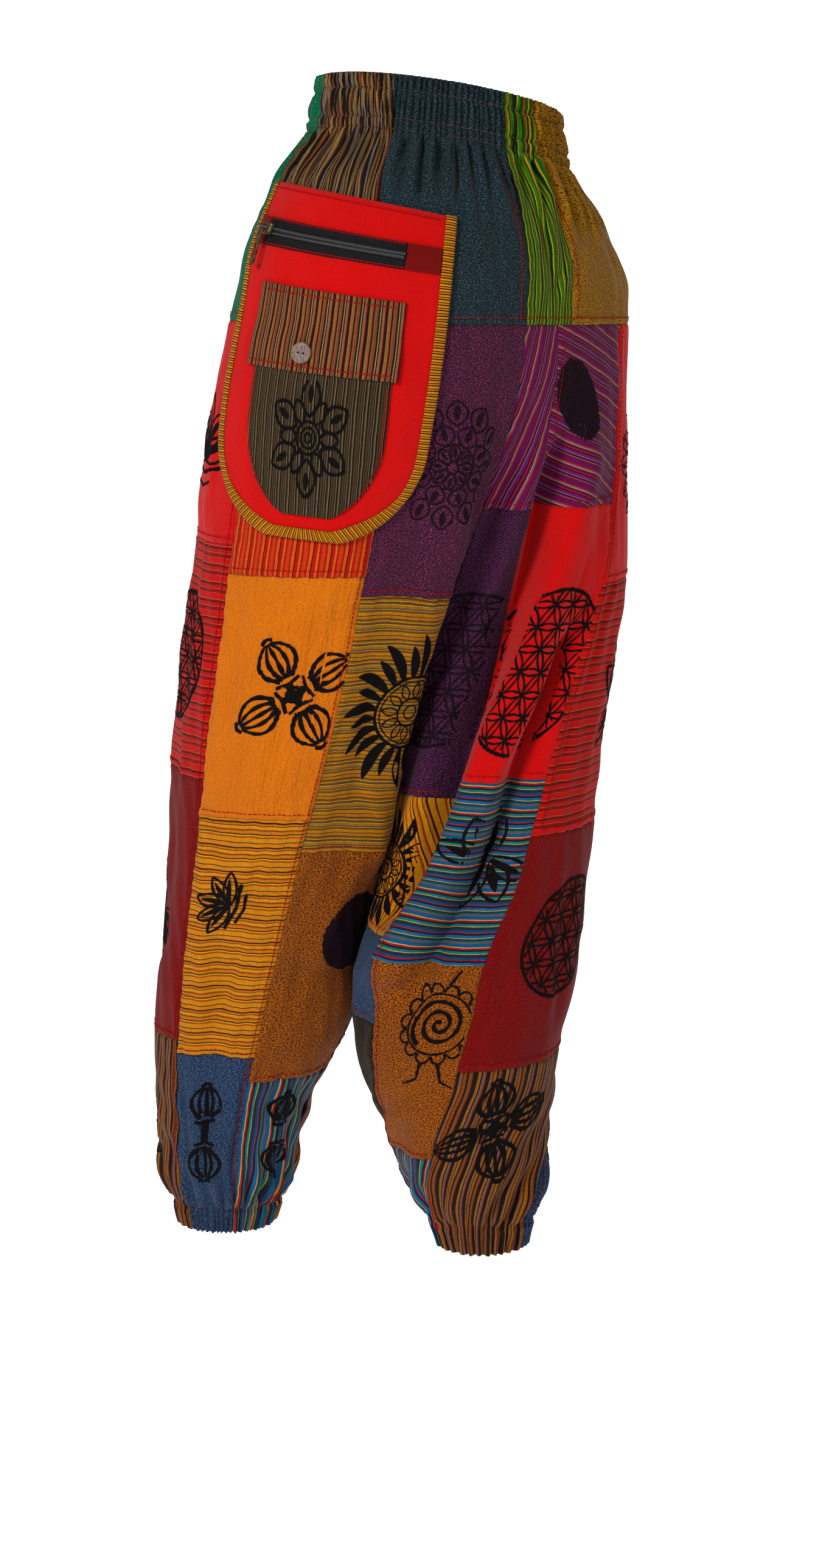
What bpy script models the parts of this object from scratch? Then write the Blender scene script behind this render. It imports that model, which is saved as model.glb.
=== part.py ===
"""Patchwork harem pants, worn: a hollow garment of cut and sewn cloth pieces, with a zipped patch pocket.

Origin at the middle of the waist opening, +X to the wearer's left, -Y to the front, +Z up, metres.
Each leg half is one surface, addressed by a share u round the body (0 centre front, 0.25 front,
0.5 side, 0.75 back, 1 centre back; below the crotch both ends are the inseam) and a level z.
"""
import bpy
import bmesh
import numpy as np
from math import pi, radians
from mathutils import Matrix, Vector

NAME = "harem_pants"

# driving dimensions
CLOTH = 0.0012            # wall of a patch
CENTRE_SEAM = 0.0006      # drawn back from a centre seam or inseam, where two halves meet in a groove
LEAN = 0.45               # least share of a patch's own facing kept at a seam, so that its wall stays open
LEANING_SEAM = 0.0012     # drawn back this much further where that is needed
SEAM = 0.00018            # each patch stops this far short of its seam line
LAYER = 0.0009            # clearance between cloth laid on cloth, for their facets
SEAT = 0.0004             # clearance under the slider and the button
POCKET_STAND = 0.0017     # clearance between the garment and the pocket, for their facets
WAIST_TOP = 0.012
WAIST_CASING = -0.030     # lower edge of the gathered waist casing
YOKE_HEM = -0.163
CROTCH = -0.700
CLOSING = 0.140           # height over which a leg closes round its inseam
REACH = 0.30              # share of a half that is drawn to the centre seams
TILT = 0.174              # rise of the waist towards the wearer's left
TILT_DEPTH = 0.20
CUFF_END = {"left": -0.950, "right": -0.925}
SIDE = {"left": 1.0, "right": -1.0}
GIRTH = 0.62              # nominal length round a half, turns u into metres for fold widths

# rings of each half: level, centre, half widths, degrees from the side to each centre seam, turn
RING_COLUMNS = ("z", "cx", "cy", "hx", "hy", "to_front", "to_back", "turn")
RINGS = {
    "left": (
        (0.012, 0.000, 0.000, 0.100, 0.089, 90, 84, 0),
        (-0.030, 0.001, -0.001, 0.108, 0.094, 90, 84, 0),
        (-0.070, 0.001, -0.001, 0.141, 0.113, 90, 85, 0),
        (-0.130, 0.005, -0.004, 0.167, 0.126, 91, 86, 0),
        (-0.200, 0.018, -0.010, 0.171, 0.130, 96, 90, 0),
        (-0.300, 0.047, -0.025, 0.150, 0.126, 115, 100, 0),
        (-0.400, 0.069, -0.045, 0.131, 0.120, 136, 109, 0),
        (-0.500, 0.082, -0.069, 0.117, 0.111, 157, 114, 0),
        (-0.600, 0.088, -0.099, 0.101, 0.096, 185, 116, 0),
        (-0.700, 0.094, -0.131, 0.085, 0.080, 235, 125, 0),
        (-0.780, 0.095, -0.153, 0.074, 0.070, 234, 126, 0),
        (-0.860, 0.092, -0.171, 0.064, 0.061, 234, 126, 0),
        (-0.905, 0.088, -0.180, 0.056, 0.054, 234, 126, 0),
        (-0.928, 0.087, -0.184, 0.046, 0.045, 234, 126, 0),
        (-0.950, 0.085, -0.188, 0.040, 0.039, 234, 126, 0),
    ),
    "right": (
        (0.012, 0.000, 0.000, 0.100, 0.089, 90, 97, 0),
        (-0.030, -0.001, 0.001, 0.108, 0.094, 90, 97, 0),
        (-0.070, -0.001, 0.001, 0.143, 0.112, 90, 96, 0),
        (-0.130, -0.002, 0.001, 0.169, 0.125, 90, 96, 0),
        (-0.200, 0.000, -0.002, 0.172, 0.130, 90, 96, 0),
        (-0.300, -0.017, -0.001, 0.153, 0.128, 93, 111, 0),
        (-0.400, -0.032, 0.004, 0.130, 0.119, 98, 146, 0),
        (-0.500, -0.031, 0.006, 0.112, 0.108, 103, 178, 0),
        (-0.600, -0.026, 0.010, 0.102, 0.100, 110, 202, 0),
        (-0.700, -0.014, 0.020, 0.095, 0.091, 126, 234, 0),
        (-0.770, 0.000, 0.029, 0.082, 0.080, 126, 234, 8),
        (-0.835, 0.000, 0.041, 0.067, 0.067, 126, 234, 34),
        (-0.875, 0.000, 0.049, 0.057, 0.057, 126, 234, 52),
        (-0.903, 0.001, 0.056, 0.043, 0.042, 126, 234, 60),
        (-0.925, 0.002, 0.060, 0.036, 0.035, 126, 234, 62),
    ),
}
# centre seams, front and back, from the waist to the crotch
SEAM_COLUMNS = ("z", "front_x", "front_y", "back_x", "back_y")
CENTRE_SEAMS = (
    (0.012, 0.000, -0.089, 0.012, 0.089),
    (-0.030, 0.000, -0.093, 0.012, 0.093),
    (-0.070, 0.000, -0.110, 0.012, 0.110),
    (-0.130, 0.000, -0.124, 0.014, 0.124),
    (-0.200, 0.000, -0.130, 0.017, 0.120),
    (-0.300, -0.008, -0.126, 0.024, 0.086),
    (-0.400, -0.014, -0.118, 0.035, 0.045),
    (-0.500, -0.008, -0.106, 0.045, 0.012),
    (-0.600, 0.008, -0.090, 0.046, -0.016),
    (-0.660, 0.022, -0.078, 0.048, -0.034),
    (-0.690, 0.034, -0.068, 0.045, -0.048),
    (-0.700, 0.040, -0.058, 0.040, -0.058),
)
# drape folds: a ridge is deeper than 0, a trough less; width and depth in metres
FOLD_COLUMNS = ("leg", "u_top", "z_top", "u_low", "z_low", "width", "depth")
FOLDS = (
    ("left", 0.925, -0.21, 0.935, -0.64, 0.034, 0.015),
    ("left", 0.62, -0.62, 0.66, -0.90, 0.022, -0.006),
    ("left", 0.40, -0.30, 0.44, -0.72, 0.026, -0.008),
    ("left", 0.12, -0.22, 0.10, -0.66, 0.026, -0.016),
    ("left", 0.22, -0.24, 0.19, -0.74, 0.028, 0.012),
    ("right", 0.945, -0.23, 0.955, -0.60, 0.020, 0.010),
    ("right", 0.900, -0.24, 0.915, -0.66, 0.014, -0.020),
    ("right", 0.850, -0.22, 0.875, -0.72, 0.024, 0.015),
    ("right", 0.795, -0.38, 0.840, -0.74, 0.013, -0.015),
    ("right", 0.62, -0.80, 0.74, -0.86, 0.012, -0.008),
    ("right", 0.40, -0.26, 0.36, -0.70, 0.026, -0.009),
    ("right", 0.12, -0.22, 0.10, -0.66, 0.026, -0.016),
    ("right", 0.22, -0.24, 0.20, -0.74, 0.028, 0.012),
)
FOLD_FADE = 0.055         # a fold dies away over this length at its ends
SEAM_CALM = 0.060         # and within this share of the half from a centre seam or inseam

# patches: per half, columns bounded by (u at the top, u at the hem), each a run of pieces downwards
RED, DARK_RED, CRIMSON = (0.80, 0.01, 0.00), (0.16, 0.00, 0.00), (0.38, 0.01, 0.01)
PURPLE, PLUM, DENIM, BLUE = (0.07, 0.02, 0.05), (0.13, 0.03, 0.09), (0.03, 0.06, 0.15), (0.04, 0.11, 0.25)
GOLD, OCHRE, RUST = (0.90, 0.37, 0.01), (0.57, 0.24, 0.02), (0.36, 0.13, 0.01)
TEAL, GREEN, LIME, OLIVE = (0.01, 0.05, 0.06), (0.01, 0.11, 0.05), (0.20, 0.42, 0.03), (0.20, 0.13, 0.02)
BROWN, ORANGE, WEAVE = (0.14, 0.07, 0.03), (0.78, 0.10, 0.01), (0.02, 0.015, 0.01)

YOKE = {
    "left": (
        ("yoke_front_left_teal", 0.00, 0.00, TEAL),
        ("yoke_side_left_green", 0.30, 0.30, GREEN),
        ("yoke_back_left_brown", 0.42, 0.45, BROWN),
        ("yoke_back_left_teal", 0.69, 0.745, TEAL),
    ),
    "right": (
        ("yoke_front_right_brown", 0.00, 0.00, BROWN),
        ("yoke_side_right_purple", 0.27, 0.27, PLUM),
        ("yoke_back_right_olive", 0.55, 0.55, OLIVE),
        ("yoke_back_right_green", 0.905, 0.915, LIME),
    ),
}
LEG_COLUMNS = {
    "left": (
        (0.0, 0.0, (("a_denim", -0.333, DENIM), ("b_rust", -0.573, RUST),
                    ("c_purple", -0.776, PURPLE), ("d_brown", -0.950, BROWN))),
        (0.265, 0.265, (("a_red", -0.333, RED), ("b_redstripe", -0.527, RED),
                        ("c_crimson", -0.764, CRIMSON), ("d_brown", -0.950, BROWN))),
        (0.53, 0.53, (("a_orange", -0.356, ORANGE), ("b_gold", -0.557, GOLD),
                      ("c_ochre", -0.776, OCHRE), ("d_denim", -0.950, DENIM))),
        (0.800, 0.735, (("a_purple", -0.372, PURPLE), ("b_ochre", -0.587, OCHRE),
                        ("c_rust", -0.800, RUST), ("d_blue", -0.950, BLUE))),
    ),
    "right": (
        (0.0, 0.0, (("a_green", -0.372, GREEN), ("b_weave", -0.659, WEAVE), ("c_rust", -0.925, RUST))),
        (0.25, 0.25, (("a_brown", -0.333, BROWN), ("b_gold", -0.573, GOLD),
                      ("c_blue", -0.764, BLUE), ("d_denim", -0.925, DENIM))),
        (0.52, 0.52, (("a_red", -0.372, RED), ("b_redstripe", -0.573, RED),
                      ("c_crimson", -0.764, CRIMSON), ("d_brown", -0.925, BROWN))),
        (0.765, 0.765, (("a_plum", -0.308, PLUM), ("b_red", -0.527, RED), ("c_blue", -0.676, BLUE),
                        ("d_rust", -0.844, RUST), ("e_blue", -0.925, BLUE))),
        (0.94, 0.87, (("a_plum", -0.308, PLUM), ("b_purple", -0.544, PURPLE), ("c_ochre", -0.659, OCHRE),
                      ("d_denim", -0.735, DENIM), ("e_weave", -0.925, WEAVE))),
    ),
}
COLUMN_NAMES = {"left": ("inner_front", "outer_front", "outer_back", "inner_back"),
                "right": ("inner_front", "front", "outer_side", "outer_back", "inner_back")}
BLACK, BRASS = (0.012, 0.012, 0.013), (0.10, 0.075, 0.045)

# patch pocket on the left back: its middle, half width and taper in u, its top and drop in z
POCKET_U, POCKET_LEAN, POCKET_HALF, POCKET_TAPER = 0.645, 0.020, 0.220, 0.035
POCKET_TOP, POCKET_DROP, POCKET_SLANT = -0.080, 0.245, 0.009
BINDING, BINDING_DOWN = 0.085, 0.034    # the binding's width, as shares of the pocket's half width and drop
ZIP_A, ZIP_B = (-0.74, 0.64), (0.095, 0.165)
TAPE, COIL, COIL_HALF = 0.0008, 0.0016, 0.013
SLIDER = (0.0120, 0.0090, 0.0034)
SLIDER_A = -0.69
BAIL, BAIL_SPAN, BAIL_RISE, BAIL_SUNK = 0.0014, 0.0075, 0.0027, 0.0008
TAB = (0.0330, 0.0055, 0.0010)
TAB_HEAD, TAB_EYE, TAB_LIFT = 0.0026, 0.0011, 0.0011
TAB_LEAN = radians(4)
BUTTON_A, BUTTON_B, BUTTON_RADIUS, BUTTON_THICK = -0.10, 0.43, 0.00825, 0.0024

STEP_Z = 0.040            # a patch is divided about this finely down its length
STEP_U = 0.055            # and this finely round the body, as a share of the half


def table(rows, columns):
    return {name: np.array([row[i] for row in rows], float) for i, name in enumerate(columns)}


RING_TABLE = {leg: table(rows, RING_COLUMNS) for leg, rows in RINGS.items()}
SEAM_TABLE = table(CENTRE_SEAMS, SEAM_COLUMNS)


def smooth_curve(columns, name, z):
    """A monotone cubic through one column of a table, read at the levels z."""
    x, y = -columns["z"], columns[name]
    q = np.clip(-np.asarray(z, float), x[0], x[-1])
    h = np.diff(x)
    d = np.diff(y) / h
    m = np.concatenate(([d[0]], np.zeros(len(d) - 1), [d[-1]]))
    for i in range(1, len(d)):
        if d[i - 1] * d[i] > 0:
            total = 3 * (h[i - 1] + h[i])
            m[i] = total / ((2 * h[i] + h[i - 1]) / d[i - 1] + (h[i] + 2 * h[i - 1]) / d[i])
    i = np.clip(np.searchsorted(x, q, side="right") - 1, 0, len(h) - 1)
    t = (q - x[i]) / h[i]
    return ((2 * t**3 - 3 * t**2 + 1) * y[i] + (t**3 - 2 * t**2 + t) * h[i] * m[i]
            + (3 * t**2 - 2 * t**3) * y[i + 1] + (t**3 - t**2) * h[i] * m[i + 1])


def ease(t):
    t = np.clip(t, 0.0, 1.0)
    return t * t * (3 - 2 * t)


def calm_surface(leg, u, z):
    """The garment's surface before its folds."""
    rings, side = RING_TABLE[leg], SIDE[leg]
    cx, cy, hx, hy, to_front, to_back, turn = (smooth_curve(rings, n, z) for n in RING_COLUMNS[1:])

    def ring(degrees):
        angle = np.radians(degrees + turn)
        return cx + side * hx * np.cos(angle), cy + hy * np.sin(angle)

    x, y = ring((2 * u - 1) * np.where(u < 0.5, to_front, to_back))
    front_x, front_y, back_x, back_y = (smooth_curve(SEAM_TABLE, n, z) for n in SEAM_COLUMNS[1:])
    below = ease((CROTCH - z) / CLOSING)
    for end, seam_x, seam_y, near in ((-to_front, front_x, front_y, u), (to_back, back_x, back_y, 1 - u)):
        end_x, end_y = ring(end)
        pull = (1 - ease(near / REACH)) * (1 - below)
        x = x + pull * (seam_x - end_x)
        y = y + pull * (seam_y - end_y)
    lift = TILT * x * ease((z + TILT_DEPTH) / TILT_DEPTH)
    return np.stack([x, y, z + lift], axis=-1)


def normals(surface, leg, u, z):
    """Outward unit normals, from differences along u and z."""
    du, dz = 0.004, 0.002
    along = surface(leg, u + du, z) - surface(leg, u - du, z)
    down = surface(leg, u, z - dz) - surface(leg, u, z + dz)
    n = np.cross(down, along) * SIDE[leg]
    return n / np.linalg.norm(n, axis=-1, keepdims=True)


def fold_depth(leg, u, z):
    depth = np.zeros(np.broadcast(u, z).shape)
    for row in FOLDS:
        fold = dict(zip(FOLD_COLUMNS, row))
        if fold["leg"] != leg:
            continue
        top = np.array([fold["u_top"] * GIRTH, fold["z_top"]])
        run = np.array([fold["u_low"] * GIRTH, fold["z_low"]]) - top
        length = np.hypot(*run)
        px, pz = u * GIRTH - top[0], z - top[1]
        along = (px * run[0] + pz * run[1]) / length
        across = (px * run[1] - pz * run[0]) / length
        fade = ease(along / FOLD_FADE) * ease((length - along) / FOLD_FADE)
        depth = depth + fold["depth"] * fade * np.exp(-(across / fold["width"]) ** 2)
    return depth * ease(np.minimum(u, 1 - u) / SEAM_CALM)


def surface(leg, u, z):
    """The garment's surface with its drape folds, at any u and z."""
    calm = calm_surface(leg, u, z)
    return calm + normals(calm_surface, leg, u, z) * fold_depth(leg, u, z)[..., None]


def collection(name):
    made = bpy.data.collections.new(name)
    bpy.context.scene.collection.children.link(made)
    return made


def material(name, colour, roughness=0.85, metallic=0.0):
    made = bpy.data.materials.new(name)
    made.use_nodes = True
    shader = made.node_tree.nodes["Principled BSDF"]
    shader.inputs["Base Color"].default_value = (*colour, 1)
    shader.inputs["Roughness"].default_value = roughness
    shader.inputs["Metallic"].default_value = metallic
    return made


def add_mesh(name, points, faces, colour, roughness=0.85, metallic=0.0):
    mesh = bpy.data.meshes.new(name)
    mesh.from_pydata([tuple(p) for p in points], [], faces)
    mesh.materials.append(material(name, colour, roughness, metallic))
    for polygon in mesh.polygons:
        polygon.use_smooth = True
    made = bpy.data.objects.new(name, mesh)
    PARTS.objects.link(made)
    return made


def slab(name, outer, inner, colour, roughness=0.85, metallic=0.0):
    """A closed wall between two grids of points of the same shape."""
    rows, columns = outer.shape[:2]
    points = np.concatenate([outer.reshape(-1, 3), inner.reshape(-1, 3)])
    below = rows * columns

    def at(i, j):
        return i * columns + j

    faces = []
    for i in range(rows - 1):
        for j in range(columns - 1):
            a, b, c, d = at(i, j), at(i, j + 1), at(i + 1, j + 1), at(i + 1, j)
            for face in ((a, b, c), (a, c, d)):
                faces.append(face)
                faces.append(tuple(k + below for k in reversed(face)))
    rim = ([at(0, j) for j in range(columns)] + [at(i, columns - 1) for i in range(1, rows)]
           + [at(rows - 1, j) for j in range(columns - 2, -1, -1)] + [at(i, 0) for i in range(rows - 2, 0, -1)])
    for a, b in zip(rim, rim[1:] + rim[:1]):
        faces.append((b, a, a + below, b + below))
    facing = np.cross(outer[:-1, 1:] - outer[:-1, :-1], outer[1:, :-1] - outer[:-1, :-1])
    if np.sum(facing * (outer - inner)[:-1, :-1]) < 0:
        faces = [face[::-1] for face in faces]
    return add_mesh(name, points, faces, colour, roughness, metallic)


def levels(stops):
    """Levels down a half: the given seams, and even steps between them."""
    stops = sorted(stops, reverse=True)
    made = []
    for a, b in zip(stops, stops[1:]):
        made += list(np.linspace(a, b, max(1, round((a - b) / STEP_Z)) + 1)[:-1])
    return np.array(made + [stops[-1]])


def edge(u_top, u_low, z_top, z_low):
    return lambda z: u_top + (u_low - u_top) * (z_top - z) / (z_top - z_low)


def patch_grid(leg, left_edge, right_edge, zs):
    """Middle surface of one patch: edges are functions of z giving u, zs its levels."""
    width = abs(right_edge(zs.mean()) - left_edge(zs.mean()))
    count = max(2, round(width / STEP_U))
    z = np.repeat(zs[:, None], count + 1, axis=1)
    share = np.linspace(0, 1, count + 1)[None, :]
    return surface(leg, left_edge(z) + (right_edge(z) - left_edge(z)) * share, z)


def side_insets(i, columns):
    """How far the two side edges of column i are drawn back: more at a centre seam, which is a groove."""
    return (CENTRE_SEAM if i == 0 else SEAM), (CENTRE_SEAM if i == len(columns) - 1 else SEAM)


def yoke_patches():
    for leg, pieces in YOKE.items():
        zs = levels((WAIST_TOP, WAIST_CASING, YOKE_HEM))
        for i, (name, top, low, colour) in enumerate(pieces):
            nxt = pieces[i + 1][1:3] if i + 1 < len(pieces) else (1.0, 1.0)
            grid = patch_grid(leg, edge(top, low, WAIST_TOP, YOKE_HEM), edge(*nxt, WAIST_TOP, YOKE_HEM), zs)
            yield name, leg, grid, colour, (0.0, SEAM, *side_insets(i, pieces))


def leg_patches():
    seams = {z for columns in LEG_COLUMNS.values() for column in columns for _, z, _ in column[2]}
    for leg, columns in LEG_COLUMNS.items():
        hem = CUFF_END[leg]
        all_levels = levels({YOKE_HEM} | {z for z in seams if z >= hem})
        for i, (top_u, low_u, pieces) in enumerate(columns):
            nxt = columns[i + 1][:2] if i + 1 < len(columns) else (1.0, 1.0)
            top = YOKE_HEM
            for name, low, colour in pieces:
                zs = all_levels[(all_levels <= top) & (all_levels >= low)]
                grid = patch_grid(leg, edge(top_u, low_u, YOKE_HEM, hem), edge(*nxt, YOKE_HEM, hem), zs)
                insets = (SEAM, 0.0 if low == hem else SEAM, *side_insets(i, columns))
                yield f"{leg}_{COLUMN_NAMES[leg][i]}_{name}", leg, grid, colour, insets
                top = low


def shared_normals(patches):
    """A normal for each point of each patch, the mean over every face that meets there, and how far
    the point is drawn back for leaning more than LEAN from its own half's faces."""
    total = {}

    def key(point):
        return tuple(np.round(point * 2e4).astype(int))

    sums = []
    for _, leg, grid, *_ in patches:
        side = SIDE[leg]
        here = np.zeros_like(grid)
        across = np.diff(grid, axis=1)
        down = np.diff(grid, axis=0)
        for i in (0, 1):
            for j in (0, 1):
                face = np.cross(down[:, j:j + across.shape[1]], across[i:i + down.shape[0]]) * side
                here[i:i + face.shape[0], j:j + face.shape[1]] += face
        sums.append(here)
        for point, value in zip(grid.reshape(-1, 3), here.reshape(-1, 3)):
            for place in (key(point), (leg, *key(point))):
                total[place] = total.get(place, 0) + value
    for (_, leg, grid, *_), here in zip(patches, sums):
        every = unit(np.array([total[key(point)] for point in grid.reshape(-1, 3)]))
        own = unit(np.array([total[(leg, *key(point))] for point in grid.reshape(-1, 3)]))
        kept = np.sum(every * own, axis=1, keepdims=True)
        aside = unit(every - own * kept + 1e-12)
        leaning = kept < LEAN
        every = np.where(leaning, own * LEAN + aside * np.sqrt(1 - LEAN**2), every)
        yield every.reshape(grid.shape), np.where(leaning, LEANING_SEAM, 0).reshape(grid.shape[:2])


def unit(vectors):
    return vectors / np.linalg.norm(vectors, axis=-1, keepdims=True)


def draw_back(a, b, distance):
    return a + unit(b - a) * distance


def inset(grid, insets, further):
    """The grid drawn back along the cloth at its top, foot and two sides, and its sides further in places."""
    top, foot, first, last = insets
    made = grid.copy()
    made[:, 0] = draw_back(made[:, 0], grid[:, 1], first + further[:, :1])
    made[:, -1] = draw_back(made[:, -1], grid[:, -2], last + further[:, -1:])
    made[0] = draw_back(made[0], made[1], top)
    made[-1] = draw_back(made[-1], made[-2], foot)
    return made


def garment():
    patches = list(yoke_patches()) + list(leg_patches())
    for (name, _, grid, colour, insets), (normal, further) in zip(patches, shared_normals(patches)):
        middle = inset(grid, insets, further)
        slab(name, middle + normal * CLOTH / 2, middle - normal * CLOTH / 2, colour)


def on_pocket(a, b, off):
    """A point of the pocket: a across from -1 to 1, b down from 0 to 1, off out from the cloth below."""
    a, b, off = np.broadcast_arrays(np.asarray(a, float), np.asarray(b, float), np.asarray(off, float))
    u = POCKET_U + POCKET_LEAN * b + a * (POCKET_HALF - POCKET_TAPER * b)
    z = POCKET_TOP - POCKET_DROP * b - POCKET_SLANT * a
    return surface("left", u, z) + normals(surface, "left", u, z) * off[..., None]


def round_end(b, start, end):
    """Share of the full width left at b, where the corners are rounded between start and end."""
    t = np.clip((b - start) / (end - start), 0, 1)
    return np.sqrt(1 - 0.88 * t * t)


def pocket_sheet(name, a_low, a_high, b_top, b_low, base, thick, colour, columns, rows,
                 rounded=None, roughness=0.85):
    """A sheet lying on the pocket; base gives the height of its underside, at each row if it varies."""
    b = np.linspace(b_top, b_low, rows + 1)[:, None]
    share = np.linspace(-1, 1, columns + 1)[None, :]
    keep = round_end(b, *rounded) if rounded else 1.0
    a = (a_low + a_high) / 2 + share * (a_high - a_low) / 2 * keep
    under = base(b) if callable(base) else base
    return slab(name, on_pocket(a, b, under + thick), on_pocket(a, b, under), colour, roughness)


def pocket():
    first = CLOTH / 2 + POCKET_STAND
    second = first + CLOTH + LAYER
    third = second + CLOTH + LAYER
    pocket_sheet("pocket_base", -1, 1, 0, 1, first, CLOTH, RED, 12, 12, rounded=(0.70, 1.0))
    sides = np.linspace(0, 1, 15)
    bottom = np.linspace(-1, 1, 9)[1:-1]
    path = ([(-1, b) for b in sides] + [(s, 1.0) for s in bottom] + [(1, b) for b in sides[::-1]])
    a = np.array([p[0] for p in path])[:, None]
    b = np.array([p[1] for p in path])[:, None]
    across, down = np.array([[0.0, BINDING]]), np.array([[0.0, BINDING_DOWN]])
    a_in = a * (round_end(b, 0.70, 1.0) - across)
    b_in = b - down * ease((b - 0.8) / 0.2)
    slab("pocket_binding", on_pocket(a_in, b_in, second + CLOTH), on_pocket(a_in, b_in, second), GOLD)
    edge_a = 1 - BINDING - 0.006
    pocket_sheet("zip_end_strip_front", -edge_a, ZIP_A[0] - 0.004, ZIP_B[0], ZIP_B[1], second, CLOTH,
                 DARK_RED, 1, 1)
    pocket_sheet("zip_end_strip_back", ZIP_A[1] + 0.004, edge_a, ZIP_B[0], ZIP_B[1], second, CLOTH,
                 DARK_RED, 1, 1)
    pocket_sheet("zip_tape", ZIP_A[0], ZIP_A[1], ZIP_B[0], ZIP_B[1], second, TAPE, BLACK, 9, 1)
    middle_b = sum(ZIP_B) / 2
    pocket_sheet("zip_coil", ZIP_A[0] + 0.10, ZIP_A[1] - 0.01, middle_b - COIL_HALF, middle_b + COIL_HALF,
                 second + TAPE + LAYER, COIL, BLACK, 9, 1, roughness=0.4)
    pocket_sheet("lower_pocket", -0.58, 0.64, 0.445, 0.925, second, CLOTH, OLIVE, 8, 7, rounded=(0.66, 0.925))
    pocket_sheet("pocket_flap", -0.66, 0.68, 0.255, 0.485,
                 lambda b: second + (third - second) * ease((b - 0.33) / 0.09), CLOTH, BROWN, 8, 5)
    return third + CLOTH


def frame_on_pocket(a, b, off):
    """A matrix on the pocket: X along the zip, Y up the pocket, Z out of the cloth."""
    here = on_pocket(a, b, off)
    along = on_pocket(a + 0.02, b, off) - on_pocket(a - 0.02, b, off)
    up = on_pocket(a, b - 0.02, off) - on_pocket(a, b + 0.02, off)
    x = Vector(along).normalized()
    out = x.cross(Vector(up)).normalized()
    y = out.cross(x)
    return Matrix((x, y, out)).transposed().to_4x4(), Vector(here)


def solid(name, work, frame, colour, roughness, metallic):
    """An object from a bmesh made in the frame's own axes."""
    mesh = bpy.data.meshes.new(name)
    work.to_mesh(mesh)
    work.free()
    mesh.materials.append(material(name, colour, roughness, metallic))
    mesh.shade_smooth()
    mesh.set_sharp_from_angle(angle=radians(35))
    made = bpy.data.objects.new(name, mesh)
    PARTS.objects.link(made)
    rotation, place = frame
    made.matrix_world = Matrix.Translation(place) @ rotation
    return made


def plate(length, width, thick, centre=(0, 0, 0)):
    work = bmesh.new()
    bmesh.ops.create_cube(work, size=1)
    bmesh.ops.scale(work, vec=(length, width, thick), verts=work.verts)
    bmesh.ops.translate(work, vec=centre, verts=work.verts)
    return work


def join_with(target, other, operation):
    """A Boolean of two objects; the second is kept as a hidden wire guide."""
    modifier = target.modifiers.new(operation.lower(), "BOOLEAN")
    modifier.operation = operation
    modifier.object = other
    PARTS.objects.unlink(other)
    CUTTERS.objects.link(other)
    other.hide_render = True
    other.display_type = "WIRE"


def rod(name, radius, length, frame, segments=16, axis="X", centre=(0, 0, 0)):
    work = bmesh.new()
    bmesh.ops.create_cone(work, cap_ends=True, segments=segments, radius1=radius, radius2=radius, depth=length)
    if axis == "X":
        bmesh.ops.rotate(work, matrix=Matrix.Rotation(pi / 2, 3, "Y"), verts=work.verts)
    bmesh.ops.translate(work, vec=centre, verts=work.verts)
    return solid(name, work, frame, BRASS, 0.35, 1.0)


def slider_and_tab():
    """The slider with its wire bail; the tab hangs by its small hole from the bail's front leg."""
    second = CLOTH / 2 + POCKET_STAND + CLOTH + LAYER
    seat = second + TAPE + LAYER + COIL + SEAT
    frame = rotation, place = frame_on_pocket(SLIDER_A, sum(ZIP_B) / 2, seat)
    length, width, height = SLIDER
    body = solid("zip_slider", plate(length, width, height, (0, 0, height / 2)), frame, BRASS, 0.35, 1.0)
    bevel = body.modifiers.new("rounded", "BEVEL")
    bevel.width = 0.0006
    bevel.segments = 2
    bevel.limit_method = "ANGLE"
    for i, end in enumerate((-1, 1)):
        leg = rod(f"bail_leg_{i}", BAIL / 2, BAIL_RISE + BAIL_SUNK, frame, axis="Z",
                  centre=(end * BAIL_SPAN / 2, 0, height + (BAIL_RISE - BAIL_SUNK) / 2))
        join_with(body, leg, "UNION")
    bridge = rod("bail_bridge", BAIL / 2, BAIL_SPAN + 2 * BAIL, frame, centre=(0, 0, height + BAIL_RISE))
    join_with(body, bridge, "UNION")

    out = rotation @ Vector((0, 0, 1))
    hang = (Vector((0, 0, -1)) + out * out.z).normalized()
    hanging = Matrix((hang.cross(-out), -hang, out)).transposed().to_4x4()
    pivot = place + rotation @ Vector((-BAIL_SPAN / 2, 0, height + TAB_LIFT))
    tab_frame = hanging @ Matrix.Rotation(TAB_LEAN, 4, "X"), pivot
    long, wide, thick = TAB
    tab = solid("pull_tab", plate(wide, long, thick, (0, TAB_HEAD - long / 2, 0)), tab_frame, BRASS, 0.4, 1.0)
    eye = rod("tab_eye_cut", TAB_EYE, 0.01, tab_frame, axis="Z")
    join_with(tab, eye, "DIFFERENCE")
    slot = solid("tab_slot_cut", plate(wide * 0.4, long * 0.36, 0.01, (0, -long * 0.60, 0)), tab_frame,
                 BRASS, 0.4, 1.0)
    join_with(tab, slot, "DIFFERENCE")


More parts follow.
